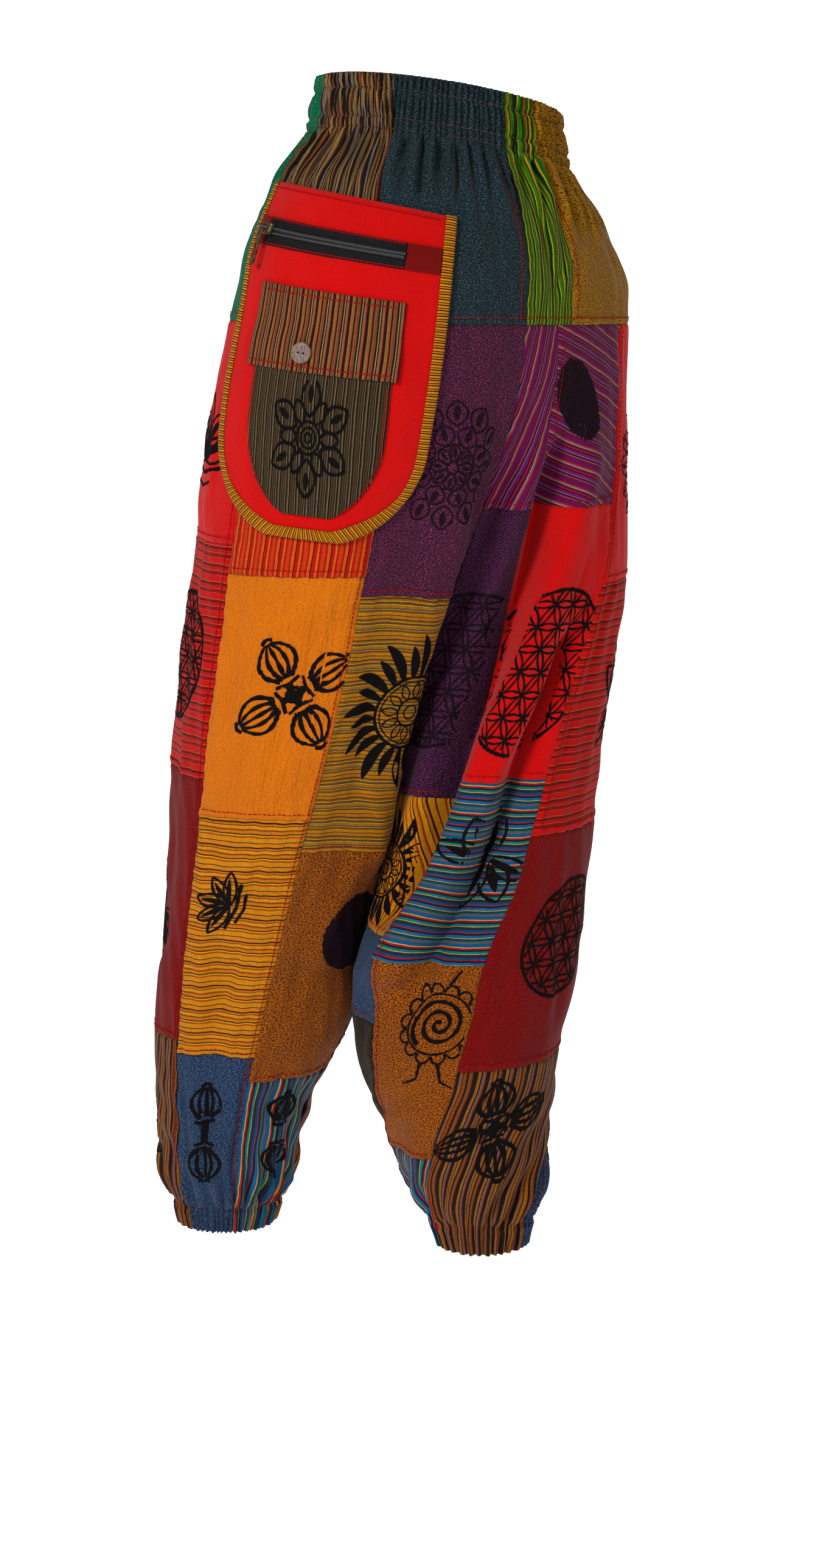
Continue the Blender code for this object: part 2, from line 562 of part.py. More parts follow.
def button(top_of_flap):
    rotation, place = frame_on_pocket(BUTTON_A, BUTTON_B, top_of_flap + 2 * SEAT)
    frame = rotation, place
    work = bmesh.new()
    bmesh.ops.create_cone(work, cap_ends=True, segments=28, radius1=BUTTON_RADIUS, radius2=BUTTON_RADIUS,
                          depth=BUTTON_THICK)
    bmesh.ops.translate(work, vec=(0, 0, BUTTON_THICK / 2), verts=work.verts)
    made = solid("flap_button", work, frame, BROWN, 0.45, 0.0)
    bevel = made.modifiers.new("rounded", "BEVEL")
    bevel.width = 0.0006
    bevel.segments = 2
    bevel.limit_method = "ANGLE"
    for side in (-1, 1):
        hole = rod(f"button_hole_{side + 1}", 0.0009, 0.01, frame, axis="Z", centre=(side * 0.0022, 0, 0))
        join_with(made, hole, "DIFFERENCE")


for old in list(bpy.data.objects):
    bpy.data.objects.remove(old, do_unlink=True)
PARTS = collection(NAME)
CUTTERS = collection("cutters")
garment()
button(pocket())
slider_and_tab()
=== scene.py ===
"""The looks of the patchwork harem pants: each CAD patch as a thin, creased cloth shell, with its
weave, its block print, its stitches and its gathers, and the pocket with its zip.

The garment's surface is the CAD part's own: a share u round each half (0 centre front, 0.5 side,
1 centre back) and a level z. Metres throughout.
"""

import bpy
import numpy as np
from math import cos, pi, radians, sin
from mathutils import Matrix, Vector


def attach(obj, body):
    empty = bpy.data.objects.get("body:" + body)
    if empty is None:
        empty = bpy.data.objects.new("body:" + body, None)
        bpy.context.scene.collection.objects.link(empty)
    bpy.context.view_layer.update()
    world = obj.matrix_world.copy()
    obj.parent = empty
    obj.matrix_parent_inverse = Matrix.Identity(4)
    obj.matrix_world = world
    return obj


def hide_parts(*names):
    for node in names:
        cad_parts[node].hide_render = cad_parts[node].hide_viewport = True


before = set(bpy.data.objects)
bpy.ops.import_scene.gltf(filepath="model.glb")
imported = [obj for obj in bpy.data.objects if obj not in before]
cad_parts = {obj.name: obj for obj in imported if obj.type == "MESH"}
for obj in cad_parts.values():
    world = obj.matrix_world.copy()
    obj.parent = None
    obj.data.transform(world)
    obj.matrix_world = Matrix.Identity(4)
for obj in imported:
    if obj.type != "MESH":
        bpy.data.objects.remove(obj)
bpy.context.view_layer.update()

# driving dimensions
LAYER = 0.0009            # clearance between cloth laid on cloth, for their facets
POCKET_STAND = 0.0017     # clearance between the garment and the pocket, for their facets
WAIST_TOP = 0.012
YOKE_HEM = -0.163
CROTCH = -0.700
CLOSING = 0.140           # height over which a leg closes round its inseam
REACH = 0.30              # share of a half that is drawn to the centre seams
TILT = 0.174              # rise of the waist towards the wearer's left
TILT_DEPTH = 0.20
CUFF_END = {"left": -0.950, "right": -0.925}
SIDE = {"left": 1.0, "right": -1.0}
GIRTH = 0.62              # nominal length round a half, turns u into metres for fold widths

# rings of each half: level, centre, half widths, degrees from the side to each centre seam, turn
RING_COLUMNS = ("z", "cx", "cy", "hx", "hy", "to_front", "to_back", "turn")
RINGS = {
    "left": (
        (0.012, 0.000, 0.000, 0.100, 0.089, 90, 84, 0),
        (-0.030, 0.001, -0.001, 0.108, 0.094, 90, 84, 0),
        (-0.070, 0.001, -0.001, 0.141, 0.113, 90, 85, 0),
        (-0.130, 0.005, -0.004, 0.167, 0.126, 91, 86, 0),
        (-0.200, 0.018, -0.010, 0.171, 0.130, 96, 90, 0),
        (-0.300, 0.047, -0.025, 0.150, 0.126, 115, 100, 0),
        (-0.400, 0.069, -0.045, 0.131, 0.120, 136, 109, 0),
        (-0.500, 0.082, -0.069, 0.117, 0.111, 157, 114, 0),
        (-0.600, 0.088, -0.099, 0.101, 0.096, 185, 116, 0),
        (-0.700, 0.094, -0.131, 0.085, 0.080, 235, 125, 0),
        (-0.780, 0.095, -0.153, 0.074, 0.070, 234, 126, 0),
        (-0.860, 0.092, -0.171, 0.064, 0.061, 234, 126, 0),
        (-0.905, 0.088, -0.180, 0.056, 0.054, 234, 126, 0),
        (-0.928, 0.087, -0.184, 0.046, 0.045, 234, 126, 0),
        (-0.950, 0.085, -0.188, 0.040, 0.039, 234, 126, 0),
    ),
    "right": (
        (0.012, 0.000, 0.000, 0.100, 0.089, 90, 97, 0),
        (-0.030, -0.001, 0.001, 0.108, 0.094, 90, 97, 0),
        (-0.070, -0.001, 0.001, 0.143, 0.112, 90, 96, 0),
        (-0.130, -0.002, 0.001, 0.169, 0.125, 90, 96, 0),
        (-0.200, 0.000, -0.002, 0.172, 0.130, 90, 96, 0),
        (-0.300, -0.017, -0.001, 0.153, 0.128, 93, 111, 0),
        (-0.400, -0.032, 0.004, 0.130, 0.119, 98, 146, 0),
        (-0.500, -0.031, 0.006, 0.112, 0.108, 103, 178, 0),
        (-0.600, -0.026, 0.010, 0.102, 0.100, 110, 202, 0),
        (-0.700, -0.014, 0.020, 0.095, 0.091, 126, 234, 0),
        (-0.770, 0.000, 0.029, 0.082, 0.080, 126, 234, 8),
        (-0.835, 0.000, 0.041, 0.067, 0.067, 126, 234, 34),
        (-0.875, 0.000, 0.049, 0.057, 0.057, 126, 234, 52),
        (-0.903, 0.001, 0.056, 0.043, 0.042, 126, 234, 60),
        (-0.925, 0.002, 0.060, 0.036, 0.035, 126, 234, 62),
    ),
}
# centre seams, front and back, from the waist to the crotch
SEAM_COLUMNS = ("z", "front_x", "front_y", "back_x", "back_y")
CENTRE_SEAMS = (
    (0.012, 0.000, -0.089, 0.012, 0.089),
    (-0.030, 0.000, -0.093, 0.012, 0.093),
    (-0.070, 0.000, -0.110, 0.012, 0.110),
    (-0.130, 0.000, -0.124, 0.014, 0.124),
    (-0.200, 0.000, -0.130, 0.017, 0.120),
    (-0.300, -0.008, -0.126, 0.024, 0.086),
    (-0.400, -0.014, -0.118, 0.035, 0.045),
    (-0.500, -0.008, -0.106, 0.045, 0.012),
    (-0.600, 0.008, -0.090, 0.046, -0.016),
    (-0.660, 0.022, -0.078, 0.048, -0.034),
    (-0.690, 0.034, -0.068, 0.045, -0.048),
    (-0.700, 0.040, -0.058, 0.040, -0.058),
)
# drape folds: a ridge is deeper than 0, a trough less; width and depth in metres
FOLD_COLUMNS = ("leg", "u_top", "z_top", "u_low", "z_low", "width", "depth")
FOLDS = (
    ("left", 0.925, -0.21, 0.935, -0.64, 0.034, 0.015),
    ("left", 0.62, -0.62, 0.66, -0.90, 0.022, -0.006),
    ("left", 0.40, -0.30, 0.44, -0.72, 0.026, -0.008),
    ("left", 0.12, -0.22, 0.10, -0.66, 0.026, -0.016),
    ("left", 0.22, -0.24, 0.19, -0.74, 0.028, 0.012),
    ("right", 0.945, -0.23, 0.955, -0.60, 0.020, 0.010),
    ("right", 0.900, -0.24, 0.915, -0.66, 0.014, -0.020),
    ("right", 0.850, -0.22, 0.875, -0.72, 0.024, 0.015),
    ("right", 0.795, -0.38, 0.840, -0.74, 0.013, -0.015),
    ("right", 0.62, -0.80, 0.74, -0.86, 0.012, -0.008),
    ("right", 0.40, -0.26, 0.36, -0.70, 0.026, -0.009),
    ("right", 0.12, -0.22, 0.10, -0.66, 0.026, -0.016),
    ("right", 0.22, -0.24, 0.20, -0.74, 0.028, 0.012),
)
FOLD_FADE = 0.055         # a fold dies away over this length at its ends
SEAM_CALM = 0.060         # and within this share of the half from a centre seam or inseam


def table(rows, columns):
    return {name: np.array([row[i] for row in rows], float) for i, name in enumerate(columns)}


RING_TABLE = {leg: table(rows, RING_COLUMNS) for leg, rows in RINGS.items()}
SEAM_TABLE = table(CENTRE_SEAMS, SEAM_COLUMNS)


def smooth_curve(columns, name, z):
    """A monotone cubic through one column of a table, read at the levels z."""
    x, y = -columns["z"], columns[name]
    q = np.clip(-np.asarray(z, float), x[0], x[-1])
    h = np.diff(x)
    d = np.diff(y) / h
    m = np.concatenate(([d[0]], np.zeros(len(d) - 1), [d[-1]]))
    for i in range(1, len(d)):
        if d[i - 1] * d[i] > 0:
            total = 3 * (h[i - 1] + h[i])
            m[i] = total / ((2 * h[i] + h[i - 1]) / d[i - 1] + (h[i] + 2 * h[i - 1]) / d[i])
    i = np.clip(np.searchsorted(x, q, side="right") - 1, 0, len(h) - 1)
    t = (q - x[i]) / h[i]
    return ((2 * t**3 - 3 * t**2 + 1) * y[i] + (t**3 - 2 * t**2 + t) * h[i] * m[i]
            + (3 * t**2 - 2 * t**3) * y[i + 1] + (t**3 - t**2) * h[i] * m[i + 1])


def ease(t):
    t = np.clip(t, 0.0, 1.0)
    return t * t * (3 - 2 * t)


def calm_surface(leg, u, z):
    """The garment's surface before its folds."""
    rings, side = RING_TABLE[leg], SIDE[leg]
    cx, cy, hx, hy, to_front, to_back, turn = (smooth_curve(rings, n, z) for n in RING_COLUMNS[1:])

    def ring(degrees):
        angle = np.radians(degrees + turn)
        return cx + side * hx * np.cos(angle), cy + hy * np.sin(angle)

    x, y = ring((2 * u - 1) * np.where(u < 0.5, to_front, to_back))
    front_x, front_y, back_x, back_y = (smooth_curve(SEAM_TABLE, n, z) for n in SEAM_COLUMNS[1:])
    below = ease((CROTCH - z) / CLOSING)
    for end, seam_x, seam_y, near in ((-to_front, front_x, front_y, u), (to_back, back_x, back_y, 1 - u)):
        end_x, end_y = ring(end)
        pull = (1 - ease(near / REACH)) * (1 - below)
        x = x + pull * (seam_x - end_x)
        y = y + pull * (seam_y - end_y)
    lift = TILT * x * ease((z + TILT_DEPTH) / TILT_DEPTH)
    return np.stack([x, y, z + lift], axis=-1)


def normals(surface, leg, u, z):
    """Outward unit normals, from differences along u and z."""
    du, dz = 0.004, 0.002
    along = surface(leg, u + du, z) - surface(leg, u - du, z)
    down = surface(leg, u, z - dz) - surface(leg, u, z + dz)
    n = np.cross(down, along) * SIDE[leg]
    return n / np.linalg.norm(n, axis=-1, keepdims=True)


def fold_depth(leg, u, z):
    depth = np.zeros(np.broadcast(u, z).shape)
    for row in FOLDS:
        fold = dict(zip(FOLD_COLUMNS, row))
        if fold["leg"] != leg:
            continue
        top = np.array([fold["u_top"] * GIRTH, fold["z_top"]])
        run = np.array([fold["u_low"] * GIRTH, fold["z_low"]]) - top
        length = np.hypot(*run)
        px, pz = u * GIRTH - top[0], z - top[1]
        along = (px * run[0] + pz * run[1]) / length
        across = (px * run[1] - pz * run[0]) / length
        fade = ease(along / FOLD_FADE) * ease((length - along) / FOLD_FADE)
        depth = depth + fold["depth"] * fade * np.exp(-(across / fold["width"]) ** 2)
    return depth * ease(np.minimum(u, 1 - u) / SEAM_CALM)


def surface(leg, u, z):
    """The garment's surface with its drape folds, at any u and z."""
    calm = calm_surface(leg, u, z)
    return calm + normals(calm_surface, leg, u, z) * fold_depth(leg, u, z)[..., None]


# fine creases: leg, u and z where each starts and ends, width and depth in millimetres
CREASES = (
    # left seat, back and pouch
    ("left", 0.79, -0.045, 0.80, -0.155, 4, -4.6),
    ("left", 0.86, -0.050, 0.875, -0.120, 6, -1.6),
    ("left", 0.93, -0.045, 0.95, -0.140, 7, -1.8),
    ("left", 0.965, -0.18, 0.965, -0.34, 9, -2.2),
    ("left", 0.845, -0.20, 0.870, -0.36, 9, -1.6),
    ("left", 0.82, -0.268, 0.96, -0.262, 4, -0.8),
    ("left", 0.80, -0.39, 0.93, -0.372, 7, 1.8),
    ("left", 0.84, -0.42, 0.86, -0.56, 10, -2.4),
    ("left", 0.78, -0.38, 0.76, -0.55, 8, 1.6),
    ("left", 0.90, -0.58, 0.85, -0.70, 12, 2.4),
    ("left", 0.79, -0.60, 0.82, -0.76, 10, -2.0),
    ("left", 0.83, -0.78, 0.80, -0.90, 7, -3.2),
    ("left", 0.93, -0.80, 0.90, -0.91, 7, -2.6),
    ("left", 0.87, -0.79, 0.86, -0.91, 6, 2.2),
    ("left", 0.74, -0.78, 0.72, -0.91, 5, -3.4),
    ("left", 0.955, -0.30, 0.975, -0.60, 12, 4.0),
    # left outer back and side
    ("left", 0.56, -0.36, 0.585, -0.55, 6, -1.6),
    ("left", 0.605, -0.365, 0.60, -0.53, 5, 1.4),
    ("left", 0.655, -0.37, 0.645, -0.45, 4, -1.5),
    ("left", 0.715, -0.36, 0.700, -0.50, 6, -1.6),
    ("left", 0.570, -0.365, 0.565, -0.44, 3, -1.7),
    ("left", 0.625, -0.362, 0.630, -0.47, 3, -1.6),
    ("left", 0.668, -0.40, 0.675, -0.55, 3, -1.8),
    ("left", 0.690, -0.362, 0.683, -0.43, 3, -1.5),
    ("left", 0.735, -0.39, 0.725, -0.54, 3, -1.8),
    ("left", 0.600, -0.46, 0.615, -0.55, 3, -1.6),
    ("left", 0.640, -0.48, 0.655, -0.55, 3, 1.6),
    ("left", 0.555, -0.58, 0.60, -0.76, 10, 2.0),
    ("left", 0.69, -0.57, 0.66, -0.75, 9, -2.2),
    ("left", 0.58, -0.70, 0.70, -0.735, 8, -1.6),
    ("left", 0.55, -0.77, 0.57, -0.90, 6, -2.4),
    ("left", 0.63, -0.79, 0.63, -0.92, 5, -3.6),
    ("left", 0.68, -0.80, 0.675, -0.91, 6, 2.0),
    ("left", 0.50, -0.19, 0.49, -0.33, 9, -2.2),
    ("left", 0.43, -0.20, 0.45, -0.34, 8, 2.0),
    ("left", 0.33, -0.20, 0.35, -0.40, 9, -2.2),
    ("left", 0.47, -0.36, 0.49, -0.54, 9, -2.4),
    ("left", 0.36, -0.46, 0.47, -0.50, 7, 1.5),
    ("left", 0.40, -0.56, 0.45, -0.74, 10, -2.4),
    ("left", 0.31, -0.60, 0.33, -0.76, 9, 2.0),
    ("left", 0.48, -0.66, 0.38, -0.72, 7, -1.6),
    ("left", 0.45, -0.79, 0.45, -0.92, 6, -3.0),
    ("left", 0.38, -0.80, 0.37, -0.92, 6, 2.2),
    ("left", 0.30, -0.78, 0.31, -0.92, 7, -2.6),
    # left front, out of the photo's sight
    ("left", 0.05, -0.05, 0.06, -0.14, 7, -1.8),
    ("left", 0.20, -0.05, 0.21, -0.15, 7, -1.8),
    ("left", 0.16, -0.40, 0.24, -0.46, 9, 1.8),
    ("left", 0.08, -0.52, 0.20, -0.57, 9, -2.0),
    ("left", 0.18, -0.62, 0.10, -0.74, 10, -2.4),
    ("left", 0.22, -0.79, 0.20, -0.92, 7, -2.8),
    ("left", 0.12, -0.80, 0.13, -0.92, 6, -2.2),
    ("left", 0.05, -0.79, 0.06, -0.92, 7, 2.0),
    # right seat and pouch
    ("right", 0.965, -0.045, 0.955, -0.15, 4, -4.0),
    ("right", 0.935, -0.050, 0.945, -0.125, 4, 3.4),
    ("right", 0.922, -0.100, 0.955, -0.158, 4, -3.6),
    ("right", 0.86, -0.050, 0.845, -0.125, 6, -2.0),
    ("right", 0.78, -0.050, 0.76, -0.14, 7, -2.2),
    ("right", 0.88, -0.185, 0.80, -0.235, 6, -1.6),
    ("right", 0.87, -0.245, 0.79, -0.285, 6, -1.4),
    ("right", 0.97, -0.20, 0.985, -0.36, 6, -2.2),
    ("right", 0.93, -0.34, 0.945, -0.54, 6, -2.4),
    ("right", 0.90, -0.56, 0.925, -0.66, 5, -2.2),
    ("right", 0.96, -0.55, 0.94, -0.64, 5, 1.8),
    ("right", 0.815, -0.33, 0.845, -0.50, 6, -1.8),
    ("right", 0.775, -0.36, 0.79, -0.46, 5, -1.6),
    ("right", 0.80, -0.53, 0.83, -0.66, 5, 1.6),
    ("right", 0.84, -0.60, 0.78, -0.622, 5, -1.3),
    ("right", 0.875, -0.685, 0.79, -0.700, 6, -1.8),
    ("right", 0.85, -0.74, 0.77, -0.815, 7, -2.2),
    ("right", 0.80, -0.77, 0.74, -0.83, 7, 1.8),
    ("right", 0.90, -0.70, 0.92, -0.84, 9, -3.0),
    ("right", 0.905, -0.24, 0.920, -0.66, 9, -10.0),
    ("right", 0.870, -0.30, 0.885, -0.66, 9, 5.0),
    ("right", 0.800, -0.39, 0.842, -0.70, 8, -10.0),
    ("right", 0.822, -0.41, 0.862, -0.66, 7, 6.5),
    ("right", 0.86, -0.70, 0.80, -0.775, 7, 2.6),
    ("right", 0.845, -0.655, 0.775, -0.672, 4, -1.8),
    # right outer side
    ("right", 0.73, -0.34, 0.745, -0.54, 6, -1.8),
    ("right", 0.66, -0.34, 0.69, -0.52, 9, 2.0),
    ("right", 0.58, -0.22, 0.60, -0.36, 9, -2.2),
    ("right", 0.715, -0.575, 0.665, -0.74, 4, 1.6),
    ("right", 0.69, -0.60, 0.64, -0.75, 5, -1.8),
    ("right", 0.58, -0.60, 0.56, -0.75, 10, -2.2),
    ("right", 0.74, -0.79, 0.66, -0.845, 6, -3.0),
    ("right", 0.72, -0.77, 0.69, -0.90, 6, -2.4),
    ("right", 0.64, -0.77, 0.645, -0.90, 7, 2.4),
    ("right", 0.59, -0.79, 0.60, -0.90, 6, -2.8),
    ("right", 0.77, -0.83, 0.765, -0.90, 5, -2.6),
    # right front, out of the photo's sight
    ("right", 0.06, -0.05, 0.05, -0.14, 7, -1.8),
    ("right", 0.17, -0.05, 0.18, -0.15, 7, -1.8),
    ("right", 0.34, -0.05, 0.35, -0.14, 7, -1.8),
    ("right", 0.45, -0.05, 0.46, -0.14, 7, -1.8),
    ("right", 0.32, -0.20, 0.34, -0.36, 9, -2.2),
    ("right", 0.46, -0.34, 0.48, -0.54, 9, -2.2),
    ("right", 0.30, -0.42, 0.40, -0.46, 8, 1.6),
    ("right", 0.17, -0.38, 0.24, -0.46, 9, 1.8),
    ("right", 0.09, -0.55, 0.22, -0.60, 9, -2.0),
    ("right", 0.30, -0.60, 0.33, -0.74, 9, 2.0),
    ("right", 0.44, -0.62, 0.47, -0.74, 10, -2.4),
    ("right", 0.40, -0.78, 0.41, -0.90, 6, -2.8),
    ("right", 0.30, -0.79, 0.30, -0.90, 7, 2.2),
    ("right", 0.20, -0.78, 0.19, -0.90, 6, -2.8),
    ("right", 0.10, -0.78, 0.09, -0.90, 6, -2.4),
)
CREASE_FADE = 0.035

WAIST_STITCHES = (0.002, -0.020, -0.028)    # levels of the waist casing's three stitch rows
CUFF_STITCH = 0.022                         # height of the cuff casing's stitch row
SHELL = 0.0010                              # thickness of a cloth shell
TURNING = 0.0036                            # how far in the turned edge of a casing lies


# the pocket lies on the left half: a runs across it from -1 to 1, b down it from 0 to 1
POCKET_U, POCKET_LEAN, POCKET_HALF, POCKET_TAPER = 0.645, 0.020, 0.220, 0.035
POCKET_TOP, POCKET_DROP, POCKET_SLANT = -0.080, 0.245, 0.009
POCKET_WIDE = 0.255                         # metres across a from -1 to 1, for the weave and the print
POCKET_ROUND = (0.70, 1.0)                  # b where the pocket starts to round off, and its end
LOWER_ROUND = (0.66, 0.925)                 # the same for the lower pocket
BINDING = 0.085                             # width of the binding, in a
CLOTH_LAYER = 0.0012                        # thickness of one layer of the pocket
ZIP_A, ZIP_B, TAPE = (-0.74, 0.64), (0.095, 0.165), 0.0008
FINE_PITCH = 0.0034                         # one stitch to the next, on the waist and the pocket


def ripple(x):
    """An uneven wave with about one crest to a unit of x."""
    return np.cos(2 * pi * (x + 0.20 * np.sin(0.86 * x + 1.0) + 0.11 * np.sin(1.93 * x + 2.0)))


def waist_gathers(leg, u, z):
    q = u + (0.0 if leg == "left" else 7.3)
    casing = ease((z + 0.037) / 0.008)
    dips = sum(np.exp(-((z - level) / 0.0026) ** 2) for level in WAIST_STITCHES)
    ridge = (0.0027 + 0.0007 * np.sin(11 * q)) * ripple(62 * q)
    in_casing = ridge * (1 - 0.45 * dips) + 0.0010 * (1 - dips) - 0.0008 * dips
    fade = ease((z + 0.110) / 0.075)
    below = (0.0040 + 0.0015 * np.sin(17 * q + 1)) * ripple(24 * q + 6 * z) * fade
    below = below + 0.0015 * ripple(52 * q) * fade * fade
    return casing * in_casing + (1 - casing) * below


def cuff_gathers(leg, u, z):
    h = z - CUFF_END[leg]
    q = u + (3.1 if leg == "left" else 11.7)
    casing = ease((0.031 - h) / 0.008)
    dip = np.exp(-((h - CUFF_STITCH) / 0.0026) ** 2)
    in_casing = 0.0026 * ripple(42 * q) * (1 - 0.4 * dip) + 0.0014 * (1 - dip) - 0.0010 * dip
    fade = ease((0.100 - h) / 0.065)
    below = (0.0042 + 0.0014 * np.sin(13 * q)) * ripple(18 * q + 5 * z) * fade
    crumple = 0.0024 * np.sin(37 * q + 60 * z + 3 * np.sin(9 * q)) * np.sin(88 * z + 14 * q)
    return casing * in_casing + (1 - casing) * (below + crumple * ease((0.175 - h) / 0.07))


def crease_depth(leg, u, z):
    depth = np.zeros(np.broadcast(u, z).shape)
    for name, u_a, z_a, u_b, z_b, width, deep in CREASES:
        if name != leg:
            continue
        start = np.array([u_a * GIRTH, z_a])
        run = np.array([u_b * GIRTH, z_b]) - start
        length = np.hypot(*run)
        px, pz = u * GIRTH - start[0], z - start[1]
        along = (px * run[0] + pz * run[1]) / length
        across = (px * run[1] - pz * run[0]) / length + 0.0016 * np.sin(along * 60 + u_a * 40)
        fade = ease(along / CREASE_FADE) * ease((length - along) / CREASE_FADE)
        depth = depth + deep / 1000 * fade * np.exp(-(across * 1000 / width) ** 2)
    slack = 0.0011 * np.sin(u * 61 + 23 * z + np.sin(z * 47)) * np.sin(z * 71 + 9 * np.sin(u * 13))
    return depth + slack


def under_pocket(u, z):
    """1 under the pocket, falling to 0 round it."""
    b = (POCKET_TOP - z) / POCKET_DROP
    a = (u - POCKET_U - POCKET_LEAN * b) / (POCKET_HALF - POCKET_TAPER * b)
    return ease((1.12 - abs(a)) / 0.10) * ease((b + 0.05) / 0.05) * ease((1.06 - b) / 0.05)


def detail(leg, u, z):
    """Depth of everything finer than the CAD's folds."""
    fine = waist_gathers(leg, u, z) + cuff_gathers(leg, u, z) + crease_depth(leg, u, z)
    if leg == "left":
        fine = fine * (1 - under_pocket(u, z))
    return fine


def cloth_at(leg, u, z, off=0.0):
    """A point of the cloth's middle, or off metres out from it."""
    u, z, off = np.broadcast_arrays(np.asarray(u, float), np.asarray(z, float), np.asarray(off, float))
    base = surface(leg, u, z)
    return base + normals(calm_surface, leg, u, z) * (detail(leg, u, z) + off)[..., None]


def lin(code):
    """A scene-linear colour from a web colour."""
    parts = [int(code[i:i + 2], 16) / 255 for i in (1, 3, 5)]
    return tuple(c / 12.92 if c <= 0.04045 else ((c + 0.055) / 1.055) ** 2.4 for c in parts) + (1.0,)


def dyed(code):
    """A cloth's dye: a web colour made deeper, for the strong studio light."""
    red, green, blue, _ = lin(code)
    grey = 0.30 * red + 0.60 * green + 0.10 * blue
    gain = 0.52 - 0.17 * min(1.0, max(0.0, (max(red, green, blue) - 0.30) / 0.45))
    return tuple(max(0.0, grey + (c - grey) * 1.30) * gain for c in (red, green, blue)) + (1.0,)


class Nodes:
    """Short ways to add and link shader nodes."""

    def __init__(self, name):
        self.material = bpy.data.materials.new(name)
        self.material.use_nodes = True
        self.tree = self.material.node_tree
        self.shader = self.tree.nodes["Principled BSDF"]

    def add(self, kind, **values):
        made = self.tree.nodes.new(kind)
        for key, value in values.items():
            setattr(made, key, value)
        return made

    def link(self, source, target):
        self.tree.links.new(source, target)

    def math(self, operation, a, b=None):
        made = self.add("ShaderNodeMath", operation=operation)
        for i, value in enumerate((a, b)):
            if value is None:
                continue
            if isinstance(value, (int, float)):
                made.inputs[i].default_value = value
            else:
                self.link(value, made.inputs[i])
        return made.outputs[0]

    def noise(self, vector, scale, detail=2.0, roughness=0.5):
        made = self.add("ShaderNodeTexNoise")
        made.inputs["Scale"].default_value = scale
        made.inputs["Detail"].default_value = detail
        made.inputs["Roughness"].default_value = roughness
        self.link(vector, made.inputs["Vector"])
        return made.outputs[0]

    def stretched(self, vector, x, y, z=1.0):
        made = self.add("ShaderNodeVectorMath", operation="MULTIPLY")
        self.link(vector, made.inputs[0])
        made.inputs[1].default_value = (x, y, z)
        return made.outputs[0]

    def mix(self, blend, factor, a, b):
        made = self.add("ShaderNodeMix", data_type="RGBA", blend_type=blend)
        for socket, value in ((made.inputs[0], factor), (made.inputs[6], a), (made.inputs[7], b)):
            if isinstance(value, (int, float, tuple)):
                socket.default_value = value
            else:
                self.link(value, socket)
        return made.outputs[2]

    def ramp(self, value, stops, constant=False):
        made = self.add("ShaderNodeValToRGB")
        made.color_ramp.interpolation = "CONSTANT" if constant else "LINEAR"
        elements = made.color_ramp.elements
        while len(elements) > 1:
            elements.remove(elements[-1])
        elements[0].position, elements[0].color = stops[0]
        for place, colour in stops[1:]:
            elements.new(place).color = colour
        self.link(value, made.inputs[0])
        return made.outputs[0]


